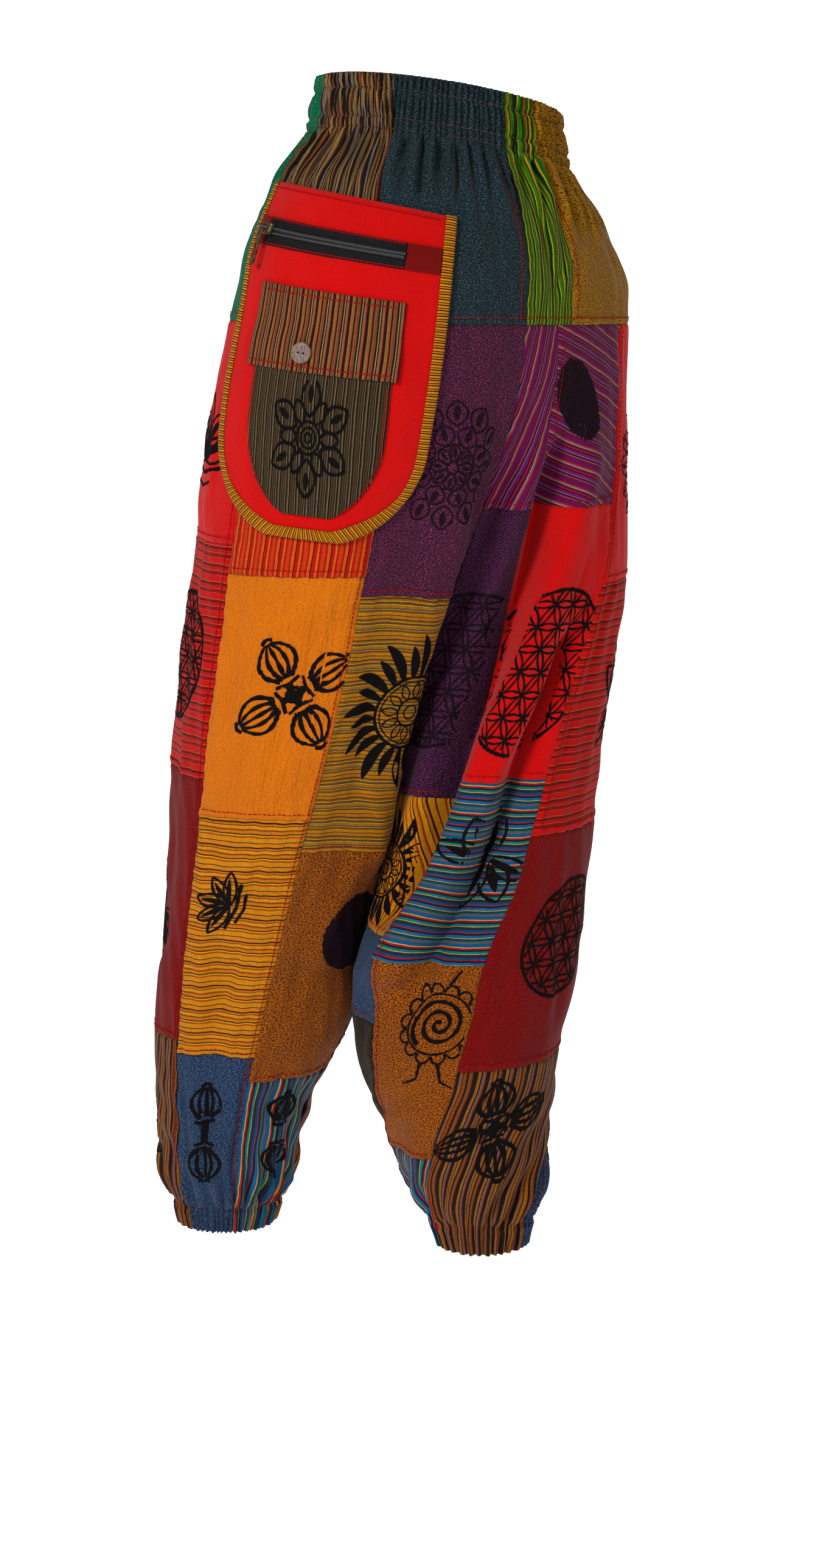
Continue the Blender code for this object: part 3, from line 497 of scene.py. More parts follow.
def fabric(name, colour=None, flecks=(), stripes=(), angle=0.0, slub=0.35, fade=0.16, roughness=0.88,
           sheen=0.03, weave=1.0, crinkle=0.0):
    """Hand-woven cotton. flecks are (colour, share) of odd threads; stripes are (millimetres, colour),
    repeated across the cloth when angle is 0 and down it when angle is 90."""
    n = Nodes(name)
    uv = n.add("ShaderNodeTexCoord").outputs["UV"]
    across = n.stretched(uv, 1500, 90)
    down = n.stretched(uv, 90, 1500)
    warp, weft = n.noise(across, 1.0), n.noise(down, 1.0)
    if stripes:
        split = n.add("ShaderNodeSeparateXYZ")
        n.link(uv, split.inputs[0])
        turned = n.math("ADD", n.math("MULTIPLY", split.outputs[0], cos(radians(angle))),
                        n.math("MULTIPLY", split.outputs[1], sin(radians(angle))))
        wobble = n.math("MULTIPLY", n.noise(uv, 38, 3.0), 0.0022)
        period = sum(width for width, _ in stripes)
        share = n.math("FRACT", n.math("DIVIDE", n.math("ADD", turned, wobble), period / 1000))
        bands, start = [], 0.0
        for width, code in stripes:
            bands.append((start / period, dyed(code)))
            start += width
        base = n.ramp(share, bands, constant=True)
    else:
        base = dyed(colour)
    for i, (code, part) in enumerate(flecks):
        grain = n.noise(n.stretched(uv, 520 + 190 * i, 1250 - 160 * i), 1.0, 1.0)
        mask = n.ramp(grain, [(0.0, (0, 0, 0, 1)), (0.62 - part * 0.42, (0, 0, 0, 1)),
                              (0.72 - part * 0.42, (1, 1, 1, 1))])
        base = n.mix("MIX", mask, base, dyed(code))
    threads = n.math("MULTIPLY", n.math("ADD", warp, weft), 0.5)
    shade = n.ramp(threads, [(0.30, (1 - slub,) * 3 + (1,)), (0.70, (1 + slub * 0.6,) * 3 + (1,))])
    base = n.mix("MULTIPLY", 1.0, base, shade)
    worn = n.ramp(n.noise(uv, 21, 4.0), [(0.25, (1 - fade,) * 3 + (1,)), (0.75, (1, 1, 1, 1))])
    base = n.mix("MULTIPLY", 1.0, base, worn)
    n.link(base, n.shader.inputs["Base Color"])
    n.shader.inputs["Roughness"].default_value = roughness
    n.shader.inputs["Specular IOR Level"].default_value = 0.08
    n.shader.inputs["Sheen Weight"].default_value = sheen
    n.shader.inputs["Sheen Roughness"].default_value = 0.5
    height = n.math("ADD", threads, n.math("MULTIPLY", n.noise(uv, 160, 3.0), 0.8))
    if crinkle:
        ridges = n.noise(n.stretched(uv, 240, 26), 1.0, 3.0, 0.6)
        height = n.math("ADD", height, n.math("MULTIPLY", ridges, crinkle))
    bump = n.add("ShaderNodeBump")
    bump.inputs["Strength"].default_value = 0.7 * weave
    bump.inputs["Distance"].default_value = 0.0009
    n.link(height, bump.inputs["Height"])
    n.link(bump.outputs[0], n.shader.inputs["Normal"])
    return n.material


def plain(name, colour, roughness=0.6, metallic=0.0, spot=None, scale=400.0, amount=0.3, coat=0.0, sheen=0.0,
          specular=0.5):
    """A plain finish, a little uneven, for thread, metal, shell and tape."""
    n = Nodes(name)
    place = n.add("ShaderNodeTexCoord").outputs["Object"]
    grain = n.noise(place, scale, 3.0)
    mask = n.ramp(grain, [(0.40, (0, 0, 0, 1)), (0.66, (amount,) * 3 + (1,))])
    base = n.mix("MIX", mask, lin(colour), lin(spot or "#000000"))
    n.link(base, n.shader.inputs["Base Color"])
    rough = n.math("ADD", n.math("MULTIPLY", grain, 0.25), roughness - 0.12)
    n.link(rough, n.shader.inputs["Roughness"])
    n.shader.inputs["Metallic"].default_value = metallic
    n.shader.inputs["Specular IOR Level"].default_value = specular
    n.shader.inputs["Coat Weight"].default_value = coat
    n.shader.inputs["Sheen Weight"].default_value = sheen
    return n.material


# stripes are (millimetres, colour)
BLACK = "#15100f"
BROWN_STRIPES = ((1.8, "#7a6446"), (1.0, BLACK), (1.0, "#7c4a30"), (1.8, BLACK), (1.6, "#6e584c"),
                 (0.7, BLACK), (1.2, "#8f7450"), (0.8, "#4a2418"), (2.2, BLACK), (1.0, "#756a66"),
                 (0.8, BLACK), (1.2, "#86603a"), (1.8, "#43322a"), (0.6, "#94764c"), (1.6, BLACK))
RUSTY_STRIPES = ((3.2, BLACK), (0.8, "#7c3a26"), (1.8, "#7e4c32"), (1.4, BLACK), (2.0, "#8c5c34"),
                 (0.8, "#4a1d14"), (1.6, "#80583e"), (2.6, BLACK), (1.1, "#8c4028"), (1.1, "#6e5a60"),
                 (1.0, BLACK), (2.0, "#946230"))
GREEN_STRIPES = ((1.8, "#35702a"), (0.6, "#c4b42c"), (1.6, "#132e16"), (1.1, "#688a20"), (0.7, "#7a3f18"),
                 (1.6, "#245a20"), (0.7, "#b4a028"), (1.6, "#10220f"), (0.9, "#4c7c26"), (0.5, "#c8b848"),
                 (0.8, "#5e2c12"))
PLUM_STRIPES = ((3.0, "#5c1c48"), (0.8, "#a83030"), (1.0, "#6e5660"), (0.5, "#b8a080"), (2.0, "#481a42"),
                (0.9, "#b2362e"), (1.0, "#1b0d18"), (2.0, "#6c2460"), (0.5, "#80707a"), (1.6, "#36143a"),
                (0.7, "#b85a2e"), (1.4, "#541a48"))
YELLOW_STRIPES = ((3.2, "#f0a010"), (1.2, "#301a08"), (1.6, "#e08a08"), (0.7, "#5a3008"), (2.6, "#f3b020"),
                  (1.5, "#8a4408"), (2.4, "#e89410"), (1.0, "#241406"), (1.2, "#f5c040"), (1.4, "#a85008"),
                  (4.0, "#f0a818"), (0.8, "#3a2008"))
OCHRE_STRIPES = ((2.4, "#b87c14"), (0.8, "#2c2a20"), (1.4, "#8a5a20"), (0.7, "#d9b250"), (2.0, "#5c4030"),
                 (0.6, "#e0c060"), (2.2, "#a86e1a"), (1.0, "#3c5048"), (0.7, "#c89a34"), (1.6, "#6e4420"),
                 (2.6, "#c08818"), (0.6, "#241c14"))
BLUE_STRIPES = ((3.0, "#25557c"), (0.7, "#e3c878"), (1.2, "#a81e3a"), (1.6, "#141b28"), (1.8, "#25706c"),
                (0.6, "#d8b870"), (2.4, "#1d2836"), (2.0, "#20476a"), (0.7, "#b3223e"), (1.4, "#10141e"),
                (2.2, "#2c608c"), (0.6, "#e0c070"), (1.8, "#22323e"), (1.4, "#1f6a62"), (0.6, "#c43848"))
RED_STRIPES = ((3.0, "#cc0a00"), (0.6, "#ff7a20"), (2.4, "#640200"), (0.5, "#f04a18"), (2.0, "#b00600"),
               (0.6, "#ff6a20"), (3.0, "#7c0300"), (0.5, "#ff5a20"), (1.6, "#dc1000"))
ORANGE_STRIPES = ((3.0, "#d85a10"), (1.4, "#a82808"), (2.4, "#e87a1c"), (1.0, "#5a1a08"), (2.6, "#c43c0a"),
                  (1.4, "#dd8a2c"), (1.8, "#b52a06"))
BINDING_STRIPES = ((1.5, "#f5a81c"), (0.9, "#1a1208"), (1.0, "#e59a18"), (0.7, "#1a1208"))
FLAP_STRIPES = ((2.0, "#8a5a44"), (1.6, BLACK), (1.2, "#a0522a"), (2.4, "#6b4a3c"), (1.8, BLACK),
                (1.0, "#b08a58"), (1.2, BLACK), (2.2, "#84604c"), (0.8, "#8a2a1a"), (2.6, BLACK),
                (1.4, "#94683c"))
OLIVE_STRIPES = ((1.6, "#453a28"), (1.0, BLACK), (0.8, "#6e6048"), (1.8, BLACK), (1.2, "#544836"),
                 (0.5, "#867454"), (2.0, BLACK), (0.7, "#624634"), (1.4, "#2a221a"))

FABRICS = {
    "teal": fabric("teal_denim", "#23333a", (("#3c4f56", 0.45), ("#12191c", 0.45)), slub=0.4, weave=1.2),
    "teal_dark": fabric("teal_dark_denim", "#183640", (("#34565f", 0.4),), slub=0.4),
    "brown_v": fabric("brown_stripe_yoke", stripes=BROWN_STRIPES),
    "rusty_v": fabric("brown_stripe_cuff", stripes=RUSTY_STRIPES),
    "green_v": fabric("green_stripe", stripes=GREEN_STRIPES, crinkle=0.8),
    "olive": fabric("olive_melange", "#846018", (("#443410", 0.5), ("#b8862a", 0.45)), slub=0.4),
    "green": fabric("green_plain", "#1d5a40", (("#2f7a58", 0.3),)),
    "purple_yoke": fabric("purple_yoke", "#4a1f48", (("#7c4a6c", 0.4),)),
    "purple": fabric("purple_melange", "#4c1f38", (("#84404a", 0.5), ("#2a1230", 0.5)), slub=0.4),
    "purple_dark": fabric("purple_dark", "#371632", (("#5e3050", 0.5), ("#1c0c1e", 0.4))),
    "plum_v": fabric("plum_stripe_down", stripes=PLUM_STRIPES, angle=-12),
    "plum_h": fabric("plum_stripe_across", stripes=PLUM_STRIPES, angle=68),
    "red": fabric("red_plain", "#ea0b00", (("#c80400", 0.3),), slub=0.10, fade=0.10, weave=0.7,
                  roughness=0.95, sheen=0.05),
    "red_h": fabric("red_stripe", stripes=RED_STRIPES, angle=90, slub=0.2),
    "crimson": fabric("crimson_plain", "#820508", (("#5c0206", 0.4),), slub=0.2),
    "orange_v": fabric("orange_stripe", stripes=ORANGE_STRIPES),
    "gold": fabric("gold_crinkle", "#fb9c00", (("#e88200", 0.3),), slub=0.14, fade=0.14, crinkle=4.5,
                   weave=1.1),
    "yellow_h": fabric("yellow_stripe_across", stripes=YELLOW_STRIPES, angle=90),
    "yellow_d": fabric("yellow_stripe_slanted", stripes=YELLOW_STRIPES, angle=14),
    "ochre_h": fabric("ochre_stripe", stripes=OCHRE_STRIPES, angle=90),
    "rust": fabric("rust_melange", "#8c4a16", (("#38190a", 0.6), ("#b8702a", 0.4)), slub=0.4),
    "denim": fabric("denim_melange", "#31445f", (("#4e6280", 0.45), ("#1c2840", 0.45)), slub=0.4),
    "blue_h": fabric("blue_stripe_across", stripes=BLUE_STRIPES, angle=90),
    "blue_v": fabric("blue_stripe_down", stripes=BLUE_STRIPES),
    "weave": fabric("dark_open_weave", "#1c140e", (("#080605", 0.6), ("#4a3420", 0.3)), slub=0.6, weave=2.0),
    "brown_h": fabric("brown_stripe_flap", stripes=FLAP_STRIPES),
    "binding": fabric("binding_stripe", stripes=BINDING_STRIPES, angle=90),
    "olive_v": fabric("olive_stripe", stripes=OLIVE_STRIPES),
    "dark_red": fabric("dark_red_plain", "#6e0000", slub=0.2),
}
INK = plain("print_ink", "#050404", 0.9, spot="#140f0f", scale=700, amount=0.5, specular=0.04)
FADED_INK = plain("faded_print_ink", "#0c0609", 0.9, spot="#1c0c16", scale=500, amount=0.8, specular=0.04)
THREAD = plain("red_thread", "#7a0606", 0.85, spot="#4a0404", scale=900, specular=0.05)
DARK_THREAD = plain("dark_thread", "#3c0c10", 0.8, spot="#1a0506", scale=900)
TAPE_CLOTH = plain("zip_tape_cloth", "#0c0c0d", 0.9, spot="#1a1a1c", scale=900, specular=0.08)
NYLON = plain("zip_coil_nylon", "#101011", 0.4, spot="#202024", scale=300, specular=0.3)
BRONZE = plain("antique_bronze", "#7c6a50", 0.42, metallic=1.0, spot="#1c1612", scale=330, amount=0.9)
SHELL_BROWN = plain("coconut_shell", "#5c463b", 0.5, spot="#2c1c14", scale=520, amount=0.8, specular=0.3)

# each piece: its fabric and, for the record, its slot
YOKE_LOOKS = {
    "left": (("yoke_front_left_teal", 0.00, 0.00, "teal_dark", "teal"),
             ("yoke_side_left_green", 0.30, 0.30, "green", "green"),
             ("yoke_back_left_brown", 0.42, 0.45, "brown_v", "brown"),
             ("yoke_back_left_teal", 0.69, 0.745, "teal", "teal")),
    "right": (("yoke_front_right_brown", 0.00, 0.00, "brown_v", "brown"),
              ("yoke_side_right_purple", 0.27, 0.27, "purple_yoke", "plum"),
              ("yoke_back_right_olive", 0.55, 0.55, "olive", "olive"),
              ("yoke_back_right_green", 0.905, 0.915, "green_v", "lime")),
}
LEG_LOOKS = {
    "left": (
        ("inner_front", 0.0, 0.0, (("a_denim", -0.333, "denim"), ("b_rust", -0.573, "rust"),
                                   ("c_purple", -0.776, "purple"), ("d_brown", -0.950, "rusty_v"))),
        ("outer_front", 0.265, 0.265, (("a_red", -0.333, "red"), ("b_redstripe", -0.527, "red_h"),
                                       ("c_crimson", -0.764, "crimson"), ("d_brown", -0.950, "rusty_v"))),
        ("outer_back", 0.53, 0.53, (("a_orange", -0.356, "orange_v"), ("b_gold", -0.557, "gold"),
                                    ("c_ochre", -0.776, "yellow_h"), ("d_denim", -0.950, "denim"))),
        ("inner_back", 0.800, 0.735, (("a_purple", -0.372, "purple"), ("b_ochre", -0.587, "ochre_h"),
                                      ("c_rust", -0.800, "rust"), ("d_blue", -0.950, "blue_v"))),
    ),
    "right": (
        ("inner_front", 0.0, 0.0, (("a_green", -0.372, "green"), ("b_weave", -0.659, "weave"),
                                   ("c_rust", -0.925, "rust"))),
        ("front", 0.25, 0.25, (("a_brown", -0.333, "brown_v"), ("b_gold", -0.573, "gold"),
                               ("c_blue", -0.764, "blue_h"), ("d_denim", -0.925, "denim"))),
        ("outer_side", 0.52, 0.52, (("a_red", -0.372, "red"), ("b_redstripe", -0.573, "red_h"),
                                    ("c_crimson", -0.764, "crimson"), ("d_brown", -0.925, "rusty_v"))),
        ("outer_back", 0.765, 0.765, (("a_plum", -0.308, "plum_h"), ("b_red", -0.527, "red"),
                                      ("c_blue", -0.676, "blue_h"), ("d_rust", -0.844, "rust"),
                                      ("e_blue", -0.925, "blue_v"))),
        ("inner_back", 0.94, 0.87, (("a_plum", -0.308, "plum_v"), ("b_purple", -0.544, "purple_dark"),
                                    ("c_ochre", -0.659, "yellow_d"), ("d_denim", -0.735, "denim"),
                                    ("e_weave", -0.925, "weave"))),
    ),
}
PATCHES = {}                                # name: leg, left edge, right edge, top, foot


def edge(u_top, u_low, z_top, z_low):
    return lambda z: u_top + (u_low - u_top) * (z_top - z) / (z_top - z_low)


def made(name, points, faces, material, uv=None, smooth=True, body="garment"):
    mesh = bpy.data.meshes.new(name)
    mesh.from_pydata([tuple(p) for p in np.asarray(points).reshape(-1, 3)], [], [tuple(f) for f in faces])
    mesh.materials.append(material)
    if uv is not None:
        layer = mesh.uv_layers.new(name="UVMap")
        loops = np.empty(len(mesh.loops), dtype=np.int32)
        mesh.loops.foreach_get("vertex_index", loops)
        layer.data.foreach_set("uv", np.asarray(uv, dtype=np.float32)[loops].ravel())
    mesh.polygons.foreach_set("use_smooth", [smooth] * len(mesh.polygons))
    item = bpy.data.objects.new(name, mesh)
    bpy.context.scene.collection.objects.link(item)
    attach(item, body)
    return item


def grid_faces(rows, columns, flip):
    i, j = np.meshgrid(np.arange(rows - 1), np.arange(columns - 1), indexing="ij")
    a = (i * columns + j).ravel()
    quads = np.stack([a, a + 1, a + columns + 1, a + columns], axis=1)
    return quads[:, ::-1] if flip else quads


def finish_cloth(item, node, thick=SHELL):
    """Give a cloth its thickness and hide the CAD part that it stands for."""
    solidify = item.modifiers.new("cloth_thickness", "SOLIDIFY")
    solidify.thickness = thick
    solidify.offset = 0.0
    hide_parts(node)


def stops(length, step, dense=0.0015, reach=0.0085):
    """Distances along a side, closer together near both ends."""
    near = np.arange(0, min(reach, length / 2), dense)
    count = max(2, int(round((length - 2 * near[-1]) / step)) + 1)
    middle = np.linspace(near[-1], length - near[-1], count)
    return np.concatenate([near, middle[1:-1], length - near[::-1]])


def patch(name, leg, left, right, top, foot, fabric_name, step_s=0.0036, step_z=0.0036,
          waist=False, cuff=False):
    PATCHES[name] = (leg, left, right, top, foot)
    mid = (top + foot) / 2
    line = np.linspace(0, 1, 25)
    width = np.linalg.norm(np.diff(surface(leg, left(mid) + (right(mid) - left(mid)) * line,
                                           np.full(25, mid)), axis=0), axis=1).sum()
    share = stops(width, step_s) / width
    zs = top - stops(top - foot, step_z)
    off = np.zeros(len(zs))
    if waist:
        zs = np.concatenate([[-0.030, -0.020, -0.010, 0.000, 0.007, 0.0115, 0.0132, 0.0134], zs])
        off = np.concatenate([[-TURNING] * 5 + [-0.0030, -0.0018, -0.0006], off])
    if cuff:
        zs = np.concatenate([zs, foot + np.array([-0.0010, -0.0010, 0.0015, 0.009, 0.018, 0.024])])
        off = np.concatenate([off, [-0.0008, -0.0026, -TURNING, -TURNING, -TURNING, -TURNING]])
    z = np.repeat(zs[:, None], len(share), axis=1)
    u = left(z) + (right(z) - left(z)) * share[None, :]
    s = share[None, :] * width
    to_sides = np.minimum(s, width - s)
    groove = np.exp(-(to_sides / 0.0016) ** 2)
    pucker = 0.0005 * np.sin(z * 2 * pi / 0.0130) * np.exp(-(to_sides / 0.008) ** 2)
    ends = [] if waist else [top - z]
    ends += [] if cuff else [z - foot]
    for gap in ends:
        gap = np.maximum(gap, 0)
        groove = np.maximum(groove, np.exp(-(gap / 0.0016) ** 2))
        pucker = pucker + 0.0005 * np.sin(s * 2 * pi / 0.0130 + 2) * np.exp(-(gap / 0.008) ** 2)
    fold_in = 0.0005 * ease((0.0062 - (z - foot)) / 0.0012) * (0.0 if cuff else 1.0)
    points = cloth_at(leg, u, z, off[:, None] - 0.0011 * groove + pucker + fold_in)
    uv = np.stack([np.broadcast_to(s, z.shape), top - z], axis=-1).reshape(-1, 2)
    item = made("cloth_" + name, points, grid_faces(*z.shape, flip=(leg == "left")), FABRICS[fabric_name], uv)
    finish_cloth(item, name)


def all_patches():
    for leg, pieces in YOKE_LOOKS.items():
        for i, (name, u_top, u_low, cloth, slot) in enumerate(pieces):
            after = pieces[i + 1][1:3] if i + 1 < len(pieces) else (1.0, 1.0)
            patch(name, leg, edge(u_top, u_low, WAIST_TOP, YOKE_HEM), edge(*after, WAIST_TOP, YOKE_HEM),
                  WAIST_TOP, YOKE_HEM, cloth, step_s=0.0017, step_z=0.0030, waist=True)
    for leg, columns in LEG_LOOKS.items():
        hem = CUFF_END[leg]
        for i, (column, u_top, u_low, pieces) in enumerate(columns):
            after = columns[i + 1][1:3] if i + 1 < len(columns) else (1.0, 1.0)
            top = YOKE_HEM
            for piece, foot, cloth in pieces:
                last = foot == hem
                patch(f"{leg}_{column}_{piece}", leg, edge(u_top, u_low, YOKE_HEM, hem),
                      edge(*after, YOKE_HEM, hem), top, foot, cloth,
                      step_s=0.0022 if last else 0.0036,
                      step_z=0.0032 if last else 0.0036, cuff=last)
                top = foot


def lengths_at(leg, u, z):
    """Metres of cloth to one unit of u, at a place."""
    return np.linalg.norm(surface(leg, u + 0.01, z) - surface(leg, u - 0.01, z), axis=-1) / 0.02


def even(path, step):
    """A path of points walked in even steps."""
    path = np.asarray(path, float)
    lengths = np.concatenate([[0], np.cumsum(np.linalg.norm(np.diff(path, axis=0), axis=1))])
    count = max(2, int(np.ceil(lengths[-1] / step)) + 1)
    at = np.linspace(0, lengths[-1], count)
    return np.stack([np.interp(at, lengths, path[:, k]) for k in (0, 1)], axis=1)


class Print:
    """Ribbons of ink in flat metres, x to the right and y up, laid on one or more patches."""

    def __init__(self):
        self.points, self.quads = [], []

    def strip(self, line, side, half):
        """Quads along a line, half wide to each side."""
        first = len(self.points)
        for p, d, h in zip(line, side, half):
            self.points += [p - d * h, p + d * h]
        self.quads += [(first + 2 * i, first + 2 * i + 2, first + 2 * i + 3, first + 2 * i + 1)
                       for i in range(len(line) - 1)]

    def ribbon(self, path, width, end_width=None, step=0.0025):
        line = even(path, step)
        along = np.gradient(line, axis=0)
        along /= np.maximum(np.linalg.norm(along, axis=1, keepdims=True), 1e-9)
        side = np.stack([-along[:, 1], along[:, 0]], axis=1)
        t = np.linspace(0, 1, len(line))
        half = (width + ((width if end_width is None else end_width) - width) * t) / 2
        half = half * (1 + 0.22 * np.sin(line[:, 0] * 1900 + line[:, 1] * 1300))
        self.strip(line, side, half)

    def leaf(self, x, y, angle, length, width, bend=0.0, step=0.0025):
        """A filled leaf or flame from a root point."""
        count = max(4, int(length / step))
        t = np.linspace(0, 1, count + 1)
        turn = angle + bend * t
        path = np.stack([x + np.cumsum(np.cos(turn)) * length / count,
                         y + np.cumsum(np.sin(turn)) * length / count], 1)
        side = np.stack([-np.sin(turn), np.cos(turn)], axis=1)
        half = width / 2 * np.sin(pi * np.clip(0.10 + 0.90 * t, 0, 1)) ** 0.8
        self.strip(path, side, half)

    def petal(self, x, y, angle, length, width, line=0.0011):
        """A petal's outline."""
        t = np.linspace(0, 1, 9)
        for sign in (-1, 1):
            px, py = t * length, sign * width / 2 * np.sin(pi * t) ** 0.8
            self.ribbon(np.stack([x + px * np.cos(angle) - py * np.sin(angle),
                                  y + px * np.sin(angle) + py * np.cos(angle)], 1), line)

    def circle(self, x, y, radius, line=0.0011, low=0.0, high=2 * pi):
        t = np.linspace(low, high, max(8, int(radius * (high - low) / 0.003)))
        self.ribbon(np.stack([x + radius * np.cos(t), y + radius * np.sin(t)], 1), line)

    def disc(self, x, y, rx, ry=None):
        ry = ry or rx
        for row in np.arange(-ry, ry, 0.0022):
            half = rx * np.sqrt(max(0.0, 1 - (row / ry) ** 2)) * (1 + 0.015 * np.sin(row * 900))
            if half > 0.0015:
                self.ribbon([(x - half, y + row), (x + half, y + row)], 0.0023, step=0.003)


def flower_of_life(p, radius, cell, line):
    reach = int(radius / cell) + 2
    for i in range(-reach, reach + 1):
        for j in range(-reach, reach + 1):
            cx, cy = cell * (i + j / 2), cell * j * 0.866
            t = np.linspace(0, 2 * pi, 37)
            path = np.stack([cx + cell * np.cos(t), cy + cell * np.sin(t)], 1)
            inside = np.hypot(path[:, 0], path[:, 1]) <= radius * 1.001
            start = 0
            while start < 36:
                if inside[start] and inside[start + 1]:
                    stop = start + 1
                    while stop < 36 and inside[stop + 1]:
                        stop += 1
                    if stop - start >= 2:
                        p.ribbon(path[start:stop + 1], line)
                    start = stop
                start += 1
    p.circle(0, 0, radius + 0.001, line * 1.8)


def mandala(p, radius):
    rings = ((8, 0.08, 0.36, 0.20), (8, 0.34, 0.66, 0.34), (12, 0.62, 1.0, 0.36))
    for k, (count, inner, outer, wide) in enumerate(rings):
        for i in range(count):
            turn = 2 * pi * (i + 0.5 * (k % 2)) / count
            x, y = radius * inner * cos(turn), radius * inner * sin(turn)
            p.petal(x, y, turn, radius * (outer - inner), radius * wide, 0.0014)
            p.leaf(x + radius * 0.04 * cos(turn), y + radius * 0.04 * sin(turn), turn,
                   radius * (outer - inner) * 0.62, radius * wide * 0.30)
    p.circle(0, 0, radius * 0.10, 0.0016)
    p.circle(0, 0, radius * 0.36, 0.0012)


def vajra(p, radius, turn):
    """One ritual thunderbolt: a knot with three prongs curving together at each end."""
    c, s = cos(turn), sin(turn)

    def put(path, width, end=None):
        path = np.asarray(path) * radius
        p.ribbon(np.stack([path[:, 0] * c - path[:, 1] * s, path[:, 0] * s + path[:, 1] * c], 1), width, end)

    for end in (-1, 1):
        put([(0, 0), (0, end * 0.20)], 0.0060)
        for wide in (0.12, 0.20):
            put([(-wide, end * (0.17 + wide / 3)), (0, end * 0.20), (wide, end * (0.17 + wide / 3))], 0.0026)
        for reach in (0.0, 0.14, 0.30):
            for side in ((-1, 1) if reach else (1,)):
                t = np.linspace(0.06, 0.97, 9)
                bow = side * reach * np.sin(pi * t) ** 0.7
                put(np.stack([bow, end * (0.26 + 0.70 * t)], 1), 0.0040, 0.0022)
        put([(-0.10, end * 0.97), (0, end * 1.02), (0.10, end * 0.97)], 0.003)


def vajra_cross(p, radius):
    vajra(p, radius, radians(45))
    vajra(p, radius, radians(-45))
    p.circle(0, 0, radius * 0.12, 0.0026)


def sun(p, radius):
    for i in range(24):
        turn = 2 * pi * i / 24
        big = i % 2 == 0
        length, width, bend = (0.60, 0.15, 0.85) if big else (0.44, 0.12, 0.5)
        p.leaf(radius * 0.47 * cos(turn), radius * 0.47 * sin(turn), turn - 0.30,
               radius * length, radius * width, bend)
    for share, line in ((0.50, 0.0022), (0.44, 0.0010), (0.20, 0.0016), (0.10, 0.0012)):
        p.circle(0, 0, radius * share, line)
    for i in range(12):
        turn = 2 * pi * i / 12
        p.petal(radius * 0.20 * cos(turn), radius * 0.20 * sin(turn), turn, radius * 0.22, radius * 0.11)


def spiral(p, radius):
    t = np.linspace(0.6, 5.3 * pi, 150)
    r = radius * 0.66 * t / t[-1]
    p.ribbon(np.stack([r * np.cos(t), r * np.sin(t)], 1), 0.0030)
    for i in range(14):
        turn = 2 * pi * i / 14
        p.circle(radius * 0.84 * cos(turn), radius * 0.84 * sin(turn), radius * 0.17, 0.0018,
                 turn - 1.9, turn + 1.9)
    p.circle(0, 0, radius * 0.76, 0.0016)
    p.ribbon([(0.1 * radius, radius), (0.35 * radius, 1.5 * radius), (0.1 * radius, 1.75 * radius)],
             0.0028, 0.001)
    for x in (-0.22, 0.22):
        p.ribbon([(x * radius, -radius), (x * 1.5 * radius, -1.45 * radius), (x * 3 * radius, -1.6 * radius)],
                 0.003, 0.001)


def lotus(p, radius):
    for turn in (18, 50, 90, 130, 162):
        p.petal(0, -0.4 * radius, radians(turn), radius * 1.1, radius * 0.42, 0.0022)
        p.leaf(0, -0.36 * radius, radians(turn), radius * 0.8, radius * 0.16)
    p.ribbon([(-0.8 * radius, -0.5 * radius), (0, -0.62 * radius), (0.8 * radius, -0.5 * radius)], 0.003)
    p.ribbon([(-0.5 * radius, -0.75 * radius), (0, -0.85 * radius), (0.5 * radius, -0.75 * radius)], 0.0024)


def petals(p, radius):
    for turn, wide in ((100, 0.5), (65, 0.42), (140, 0.42), (-80, 0.5), (-45, 0.4), (-120, 0.4)):
        p.petal(0, 0, radians(turn), radius, radius * wide, 0.0022)
        p.leaf(0, 0, radians(turn), radius * 0.72, radius * wide * 0.35)


def disc(p, radius):
    p.disc(0, 0, radius * 0.86, radius)


